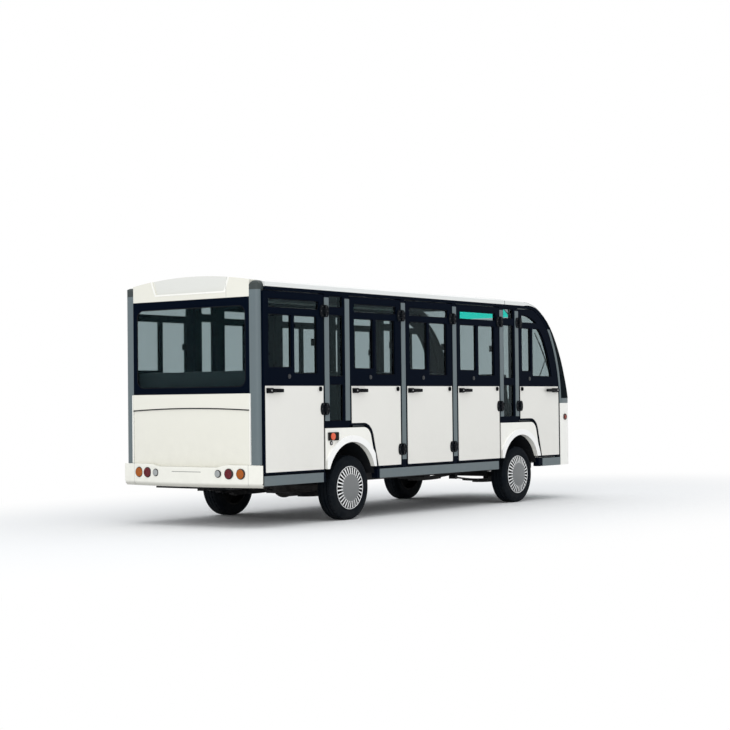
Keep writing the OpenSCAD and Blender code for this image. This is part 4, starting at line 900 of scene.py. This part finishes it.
half = tyre_w / 2
section = [(half - 0.012, rim_r), (half - 0.004, rim_r + 0.010), (half - 0.006, rim_r + 0.022),
           (half, rim_r + 0.045), (half - 0.002, rim_r + 0.066), (half - 0.010, rim_r + 0.086),
           (tread_half + 0.008, tyre_r - 0.0035), (tread_half, tyre_r - 0.001)]
for middle in groove_y:
    section += [(middle + groove_w / 2, tyre_r), (middle + groove_w / 2, tyre_r - groove_d),
                (middle - groove_w / 2, tyre_r - groove_d), (middle - groove_w / 2, tyre_r)]
section += [(-along, out) for along, out in section[7::-1]]
section += [section[0]]
tyre = spun("tyre", section, turns)
step_angle = 2 * math.pi / turns


def slot_face(face):
    """True for every third face of the tread's shoulders."""
    out = math.hypot(face.center.x, face.center.z)
    turn = round(math.atan2(face.center.z, face.center.x) / step_angle - 0.5)
    across = shoulder_in < abs(face.center.y) < shoulder_out
    return out > tyre_r - shoulder_drop and across and turn % slot_every == 0


pick_faces(tyre, slot_face)
bpy.ops.mesh.inset(thickness=slot_margin, depth=-slot_depth)
close_mesh()
smoothed(tyre, 34)
wheel_x = {"rear": -1.315, "front": 1.470}
wheel_y = 0.6625
fins = 30
fin_in, fin_out, fin_deep, fin_half, fin_flare = 0.116, 0.177, 0.004, 0.0045, 1.45
fin_in_y, fin_out_y = 0.0905, 0.0785
rim_ring = spun("cover_rim", [(0.068, 0.1795), (0.0785, 0.181), (0.0805, 0.1835), (0.0785, 0.1865),
                              (0.068, 0.188), (0.068, 0.1795)], 96)
centre = spun("cover_centre", [(0.074, 0.1215), (0.0845, 0.1225), (0.0890, 0.1190), (0.0925, 0.106),
                               (0.0975, 0.070), (0.1000, 0.034), (0.1005, 0.0), (0.074, 0.0),
                               (0.074, 0.1215)], 72)
blade = block("cover_fin", (-fin_half, fin_in_y - fin_deep, fin_in), (fin_half, fin_in_y, fin_out))
pick_faces(blade, facing(z=1))
bpy.ops.transform.resize(value=(fin_flare, 1, 1))
bpy.ops.transform.translate(value=(0, fin_out_y - fin_in_y, 0))
close_mesh()
rounded(blade, width=0.0014)
ring_of_fins = []
for count in range(fins):
    fin = placed(blade, "cover_fin", 0, 0, 0, 1, 1)
    fin.data.transform(Matrix.Rotation(2 * math.pi * count / fins, 4, "Y"))
    ring_of_fins.append(fin)
bpy.data.objects.remove(blade)
bright_fins = joined("cover_fins", [rim_ring] + ring_of_fins)
for piece, material in ((bright_fins, silver), (centre, disc_grey)):
    painted(smoothed(piece, 34), material)
cover = joined("cover", [bright_fins, centre])
for end in ("rear", "front"):
    for side, sign in sides:
        name = f"{end}_{side}"
        ring = placed(tyre, f"tyre_{name}_finished", wheel_x[end], sign * wheel_y, tyre_r, 1, 1)
        fit(ring, f"wheel_{name}", rubber, "tyre_rubber", f"tyre_{name}")
        wheel = rounded(copy_of(f"wheel_{name}", f"wheel_{name}_finished", 0), width=0.0006)
        fit(wheel, f"wheel_{name}", slot_black, "silver_cover", f"wheel_{name}")
        face = placed(cover, f"cover_{name}", wheel_x[end], sign * wheel_y, tyre_r, 1, sign)
        mount(face, f"wheel_{name}", "silver_cover")
bpy.data.objects.remove(cover)
bpy.data.objects.remove(tyre)

# Lamps
# Round tail lamps in amber, red and clear, small red side markers and round headlamps. Each has a
# lens with moulded prisms and stepped rings in a rubber seat, and the headlamps a bright bezel.
prism, given, result = effect(
    "prism", [("Scale", "Float", 60.0), ("Depth", "Float", 0.001)], [("Normal", "Vector")])
place = add_node(prism, "TexCoord").outputs["Object"]
ribs = []
for direction in ("Y", "Z"):
    wave = add_node(prism, "TexWave", {"Vector": place, "Scale": given.outputs["Scale"]})
    wave.bands_direction = direction
    ribs.append(wave.outputs["Fac"])
relief = add_node(prism, "Bump", {
    "Height": maths(prism, "ADD", *ribs), "Distance": given.outputs["Depth"]})
prism.links.new(relief.outputs["Normal"], result.inputs["Normal"])


def lens_plastic(name, colour, rough):
    """A coloured lens with moulded prisms."""
    made = surface(name, colour, rough, 0.05, 0.03, gleam=0.25)
    tree = made.node_tree
    moulded = tree.nodes.new("ShaderNodeGroup")
    moulded.node_tree = prism
    tree.links.new(moulded.outputs["Normal"], tree.nodes["Principled BSDF"].inputs["Normal"])
    return made


amber = lens_plastic("amber_lens", (0.42, 0.105, 0.008), 0.25)
red = lens_plastic("red_lens", (0.13, 0.007, 0.014), 0.25)
clear = lens_plastic("clear_lens", (0.40, 0.42, 0.42), 0.15)
head_glass = lens_plastic("headlamp_lens", (0.70, 0.73, 0.75), 0.12)
head_glass.node_tree.nodes["Principled BSDF"].inputs["Metallic"].default_value = 0.7
marker_case = surface("marker_case", (0.060, 0.010, 0.008), 0.45, 0.05, 0.05, 400.0, 0.0001)
marker_red = lens_plastic("marker_lens", (0.36, 0.070, 0.050), 0.25)
turn_lamps = panel("turn_lamps", amber, "amber_lens", edge=0.003, segments=3)
paint_faces(turn_lamps, marker_case, lambda face: face.center.x > 0)
panel("stop_lamps", red, "red_lens", edge=0.003, segments=3)
panel("clear_lamps", clear, "clear_lens", edge=0.003, segments=3)


ring_steps = ((0.92, 0.003), (0.70, 0.0038), (0.66, 0.0028), (0.44, 0.0046), (0.40, 0.0036), (0.18, 0.0052))
lens_foot, lens_top, lens_gap = -0.003, 0.0054, 0.001
seat_back, seat_wide, seat_in = -0.010, 0.0035, 0.0015


def round_lens(name, radius, material):
    """A domed lens with three stepped rings and a rubber seat, on the axis of Y."""
    steps = [(lens_foot, radius - lens_gap), (0.0, radius - lens_gap)]
    steps += [(rise, radius * share) for share, rise in ring_steps]
    lens_face = spun(name, steps + [(lens_top, 0.0), (lens_foot, 0.0), steps[0]], 48)
    seat = spun(f"{name}_seat", [
        (seat_back, radius + seat_wide), (-0.002, radius + seat_wide), (0.0005, radius + seat_in),
        (0.0005, radius - seat_in), (seat_back, radius - seat_in), (seat_back, radius + seat_wide)], 48)
    for piece, finish in ((lens_face, material), (seat, rubber_and_band_shadow)):
        painted(smoothed(piece, 25), finish)
    return joined(name, [lens_face, seat])


lamps = (
    ("turn", "amber_lens", amber, 0.040, -2.5679, 0.570, 0.444),
    ("stop", "red_lens", red, 0.040, -2.5849, 0.456, 0.444),
    ("reverse", "clear_lens", clear, 0.028, -2.5973, 0.350, 0.444),
    ("headlamp", "clear_lens", head_glass, 0.072, 2.5966, 0.560, 0.700),
)
for name, slot, material, radius, x, y, z in lamps:
    lens_piece = round_lens(name, radius, material)
    if name == "headlamp":
        bezel = spun("bezel", [(-0.012, 0.090), (-0.004, 0.089), (0.003, 0.083), (0.002, 0.0755),
                               (-0.012, 0.0755), (-0.012, 0.090)], 64)
        painted(smoothed(bezel, 35), lock_steel)
        lens_piece = joined(name, [lens_piece, bezel])
    way = 1 if x < 0 else -1
    lens_piece.data.transform(Matrix.Rotation(way * math.pi / 2, 4, "Z"))
    for side, sign in sides:
        mount(placed(lens_piece, f"lens_{name}_{side}", x, sign * y, z, 1, 1), "shuttle", slot)
    bpy.data.objects.remove(lens_piece)

marker_r, marker_x, marker_y, marker_z = 0.018, 2.3828, 0.776, 0.844
marker = round_lens("marker", marker_r, marker_red)
for side, sign in sides:
    piece = placed(marker, f"lens_marker_{side}", marker_x, sign * marker_y, marker_z, 1, sign)
    mount(piece, "shuttle", "amber_lens")
bpy.data.objects.remove(marker)

# Charging socket
# A black box on the right rear arch panel with an orange screw cap on a strap. The cap has a ribbed
# edge, and a key lock with a bright keyway sits below the box.
socket_box = surface("socket_box", (0.005, 0.0045, 0.0045), 0.5, 0.08, 0.02, 500.0, 0.0002, gleam=0.1)
orange_cap = surface("orange_cap", (0.75, 0.11, 0.04), 0.4, 0.06, 0.1, 500.0, 0.0001)
port_x, port_y, port_z = -1.602, 0.790, 0.730
port_face_y = 0.7845
cap_points = 40
rib_margin, rib_rise = 0.0006, 0.0012
cap_edge = 0.029
strap_low, strap_high = (0.020, -0.016, -0.006), (0.056, -0.012, 0.006)
strap_end, strap_flare = 0.008, 2.2
key_x, key_z = -1.6115, 0.673
keyway_r, keyway_h, keyway_out = 0.011, 0.004, 0.003
port = rounded(leaf_only("charge_port", "charge_port_finished", port_face_y), width=0.002)
fit(port, "shuttle", socket_box, "orange_plastic", "charge_port")
cap = spun("port_cap", [(-0.014, 0.0295), (-0.002, 0.0295), (0.001, 0.027), (0.001, 0.021), (0.004, 0.019),
                        (0.005, 0.0), (-0.014, 0.0), (-0.014, 0.0295)], cap_points)


def rib_face(face):
    """True for every second face of the cap's edge."""
    turn = round(math.atan2(face.center.z, face.center.x) / (2 * math.pi / cap_points) - 0.5)
    return math.hypot(face.center.x, face.center.z) > cap_edge and turn % 2 == 0


pick_faces(cap, rib_face)
bpy.ops.mesh.inset(thickness=rib_margin, depth=rib_rise, use_individual=True)
close_mesh()
strap = block("port_strap", strap_low, strap_high)
pick_faces(strap, facing(x=1))
extrude((strap_end, 0, 0))
bpy.ops.transform.resize(value=(1, 1, strap_flare))
close_mesh()
rounded(strap, width=0.001)
for piece in (cap, strap):
    painted(smoothed(piece, 30), orange_cap)
cap = joined("port_cap", [cap, strap])
cap.data.transform(Matrix.Translation((port_x, -port_y, port_z)) @ Matrix.Diagonal((1, -1, 1, 1)))
cap.data.flip_normals()
mount(cap, "shuttle", "orange_plastic")
port_lock = screw("port_lock", (key_x, -skin_y - button_out, key_z), button_r, button_h)
keyway = screw("port_keyway", (key_x, -skin_y - keyway_out, key_z), keyway_r, keyway_h)
lock = joined("port_lock", [painted(port_lock, socket_box), painted(keyway, lock_steel)])
mount(lock, "shuttle", "silver_cover")

# Wiper
# A black wiper parked upright on the right of the windscreen: an arm from a spindle above the
# band and a rubber blade that follows the glass.
wiper_black = surface("wiper_black", (0.006, 0.0065, 0.007), 0.5, 0.06, 0.05, 500.0, 0.0001, gleam=0.3)


def on_glass(y, z, lift):
    """A point over the outer face of the windscreen."""
    spot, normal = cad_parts["windscreen"].ray_cast((4, y, z), (-1, 0, 0))[1:3]
    return spot + normal * lift


def rod(name, points, radius):
    """A round bar through a row of points."""
    piece = started(name, bpy.ops.mesh.primitive_circle_add, vertices=12, radius=radius, fill_type="NGON")
    facing = (points[1] - points[0]).to_track_quat("Z", "Y").to_matrix().to_4x4()
    piece.data.transform(Matrix.Translation(points[0]) @ facing)
    edit_all(piece)
    for start, end in zip(points, points[1:]):
        extrude(end - start)
    bpy.ops.mesh.select_all(action="SELECT")
    bpy.ops.mesh.normals_make_consistent(inside=False)
    close_mesh()
    return smoothed(piece, 40)


arm_start, arm_end, arm_lift = Vector((-0.22, 1.065)), Vector((-0.52, 1.449)), 0.019
blade_y, blade_low, blade_rise, blade_lift = -0.52, 1.22, 0.50, 0.006
carrier_lift, carrier_start, carrier_share = 0.015, 0.2, 0.6
arm_r, blade_r, carrier_r, spindle_r = 0.0055, 0.0055, 0.0035, 0.013
spindle_lifts = (0.0, 0.015, 0.028)
shares = [count / 8 for count in range(9)]
arm = rod("wiper_arm", [on_glass(*arm_start.lerp(arm_end, t), arm_lift) for t in shares], arm_r)
edge_heights = [blade_low + blade_rise * t for t in shares]
rubber_edge = rod("wiper_rubber", [on_glass(blade_y, z, blade_lift) for z in edge_heights], blade_r)
carrier_heights = [blade_low + blade_rise * (carrier_start + carrier_share * t) for t in shares]
carrier = rod("wiper_carrier", [on_glass(blade_y, z, carrier_lift) for z in carrier_heights], carrier_r)
spindle = rod("wiper_spindle", [on_glass(*arm_start, lift) for lift in spindle_lifts], spindle_r)
fit(joined("wiper", [arm, rubber_edge, carrier, spindle]), "shuttle", wiper_black, "black_plastic")

# Running gear
# Chassis rails, axles, springs and steering knuckles in black chassis paint over cast and
# folded steel, dusty from the road, with the floor's rubber mat and the battery case above them.
chassis_paint = surface("chassis_paint", (0.007, 0.008, 0.011), 0.55, 0.12, 0.12, 180.0, 0.0003, gleam=0.2)
cast_iron = surface("cast_iron", (0.03, 0.03, 0.031), 0.65, 0.15, 0.2, 350.0, 0.0006, Metallic=0.4)
floor_mat = surface("floor_mat", (0.009, 0.0105, 0.013), 0.8, 0.12, 0.05, 240.0, 0.0006, gleam=0.1)
case_grey = surface("battery_case", (0.06, 0.065, 0.07), 0.5, 0.08, 0.4, 300.0, 0.0002)
for material, nodes in (
    (chassis_paint, ("chassis_rails", "front_axle", "leaf_springs")),
    (cast_iron, ("rear_axle", "knuckle_right", "knuckle_left")),
    (floor_mat, ("floor",)),
    (case_grey, ("battery_pack",)),
):
    for node in nodes:
        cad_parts[node].material_slots[0].material = material

# Cabin
# A moulded dark dashboard fixed under the windscreen, a steering wheel with a soft rim, and moulded
# seat shells fixed to the floor.
cabin_plastic = surface("cabin_plastic", (0.022, 0.023, 0.025), 0.55, 0.08, 0.1, 420.0, 0.0003)
seat_shell = surface("seat_shell", (0.024, 0.034, 0.040), 0.5, 0.08, 0.1, 420.0, 0.0002)
panel("dashboard", cabin_plastic, "black_plastic", edge=0.006, segments=3)
panel("steering_wheel", cabin_plastic, "black_plastic", edge=0.0015)
panel("seat_frames", seat_shell, "seat_shell", edge=0.0015)

# Seat pads
# Foam cushions and backs under dark grey vinyl, with two stitched seams fore and aft. One cushion
# and one back are blown up as cloth and copied to every place.
vinyl = surface("seat_vinyl", (0.024, 0.034, 0.040), 0.48, 0.08, 0.05, 260.0, 0.0005)
edit_all(copy_of("seat_pads", "seat_pads_apart"))
bpy.ops.mesh.separate(type="LOOSE")
close_mesh()
pads = list(bpy.context.selected_objects)
seam_share, seam_half = 0.3, 0.007
pad_room, pad_voxel, pad_swell = 0.012, 0.013, 0.016
back_height = 0.25
pressure, cloth_frames = 4.0, 20


def corners(piece):
    """The low and high corner of a piece's box."""
    spots = [vertex.co for vertex in piece.data.vertices]
    low = Vector(min(spot[axis] for spot in spots) for axis in range(3))
    return low, Vector(max(spot[axis] for spot in spots) for axis in range(3))


def is_back(piece):
    """A back stands up, a cushion lies flat."""
    low, high = corners(piece)
    return high.z - low.z > back_height


def stuffed(pad, name):
    """A pad drawn in by its stitching and swollen by its foam, its box in the middle of the frame."""
    low, high = corners(pad)
    middle = (low + high) / 2
    size = high - low
    piece = bpy.data.objects.new(name, pad.data.copy())
    bpy.context.scene.collection.objects.link(piece)
    piece.data.transform(Matrix.Translation(-middle))
    edit_all(piece)
    bpy.ops.transform.resize(value=[(side - 2 * pad_room) / side for side in size], center_override=(0, 0, 0))
    close_mesh()
    finish_modifier(piece, "REMESH", mode="VOXEL", voxel_size=pad_voxel)
    finish_modifier(piece, "SMOOTH", factor=0.5, iterations=4)
    held = piece.vertex_groups.new(name="seams")
    seam = [v.index for v in piece.data.vertices
            if abs(abs(v.co.y) - seam_share * size.y) < seam_half or (not is_back(pad) and v.co.z < 0.0)]
    held.add(seam, 1.0, "REPLACE")
    rest = [v.co.copy() for v in piece.data.vertices]
    cloth = piece.modifiers.new("cover", "CLOTH")
    cloth.settings.use_pressure = True
    cloth.settings.uniform_pressure_force = pressure
    cloth.settings.effector_weights.gravity = 0.0
    cloth.settings.vertex_group_mass = "seams"
    for count in range(1, cloth_frames + 1):
        bpy.context.scene.frame_set(count)
    take(piece)
    bpy.ops.object.modifier_apply(modifier="cover")
    bpy.context.scene.frame_set(1)
    for vertex, start in zip(piece.data.vertices, rest):
        moved = vertex.co - start
        if moved.length > pad_swell:
            vertex.co = start + moved.normalized() * pad_swell
    take(piece)
    bpy.ops.object.shade_smooth()
    return painted(piece, vinyl)


back = stuffed(next(pad for pad in pads if is_back(pad)), "seat_back")
cushion = stuffed(next(pad for pad in pads if not is_back(pad)), "seat_cushion")
soft = []
for pad in pads:
    low, high = corners(pad)
    middle = (low + high) / 2
    soft.append(placed(back if is_back(pad) else cushion, "seat_pad", *middle, 1, 1))
for piece in pads + [back, cushion]:
    bpy.data.objects.remove(piece)
seats = mount(joined("seat_pads_finished", soft), "shuttle", "seat_vinyl")
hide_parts("seat_pads")
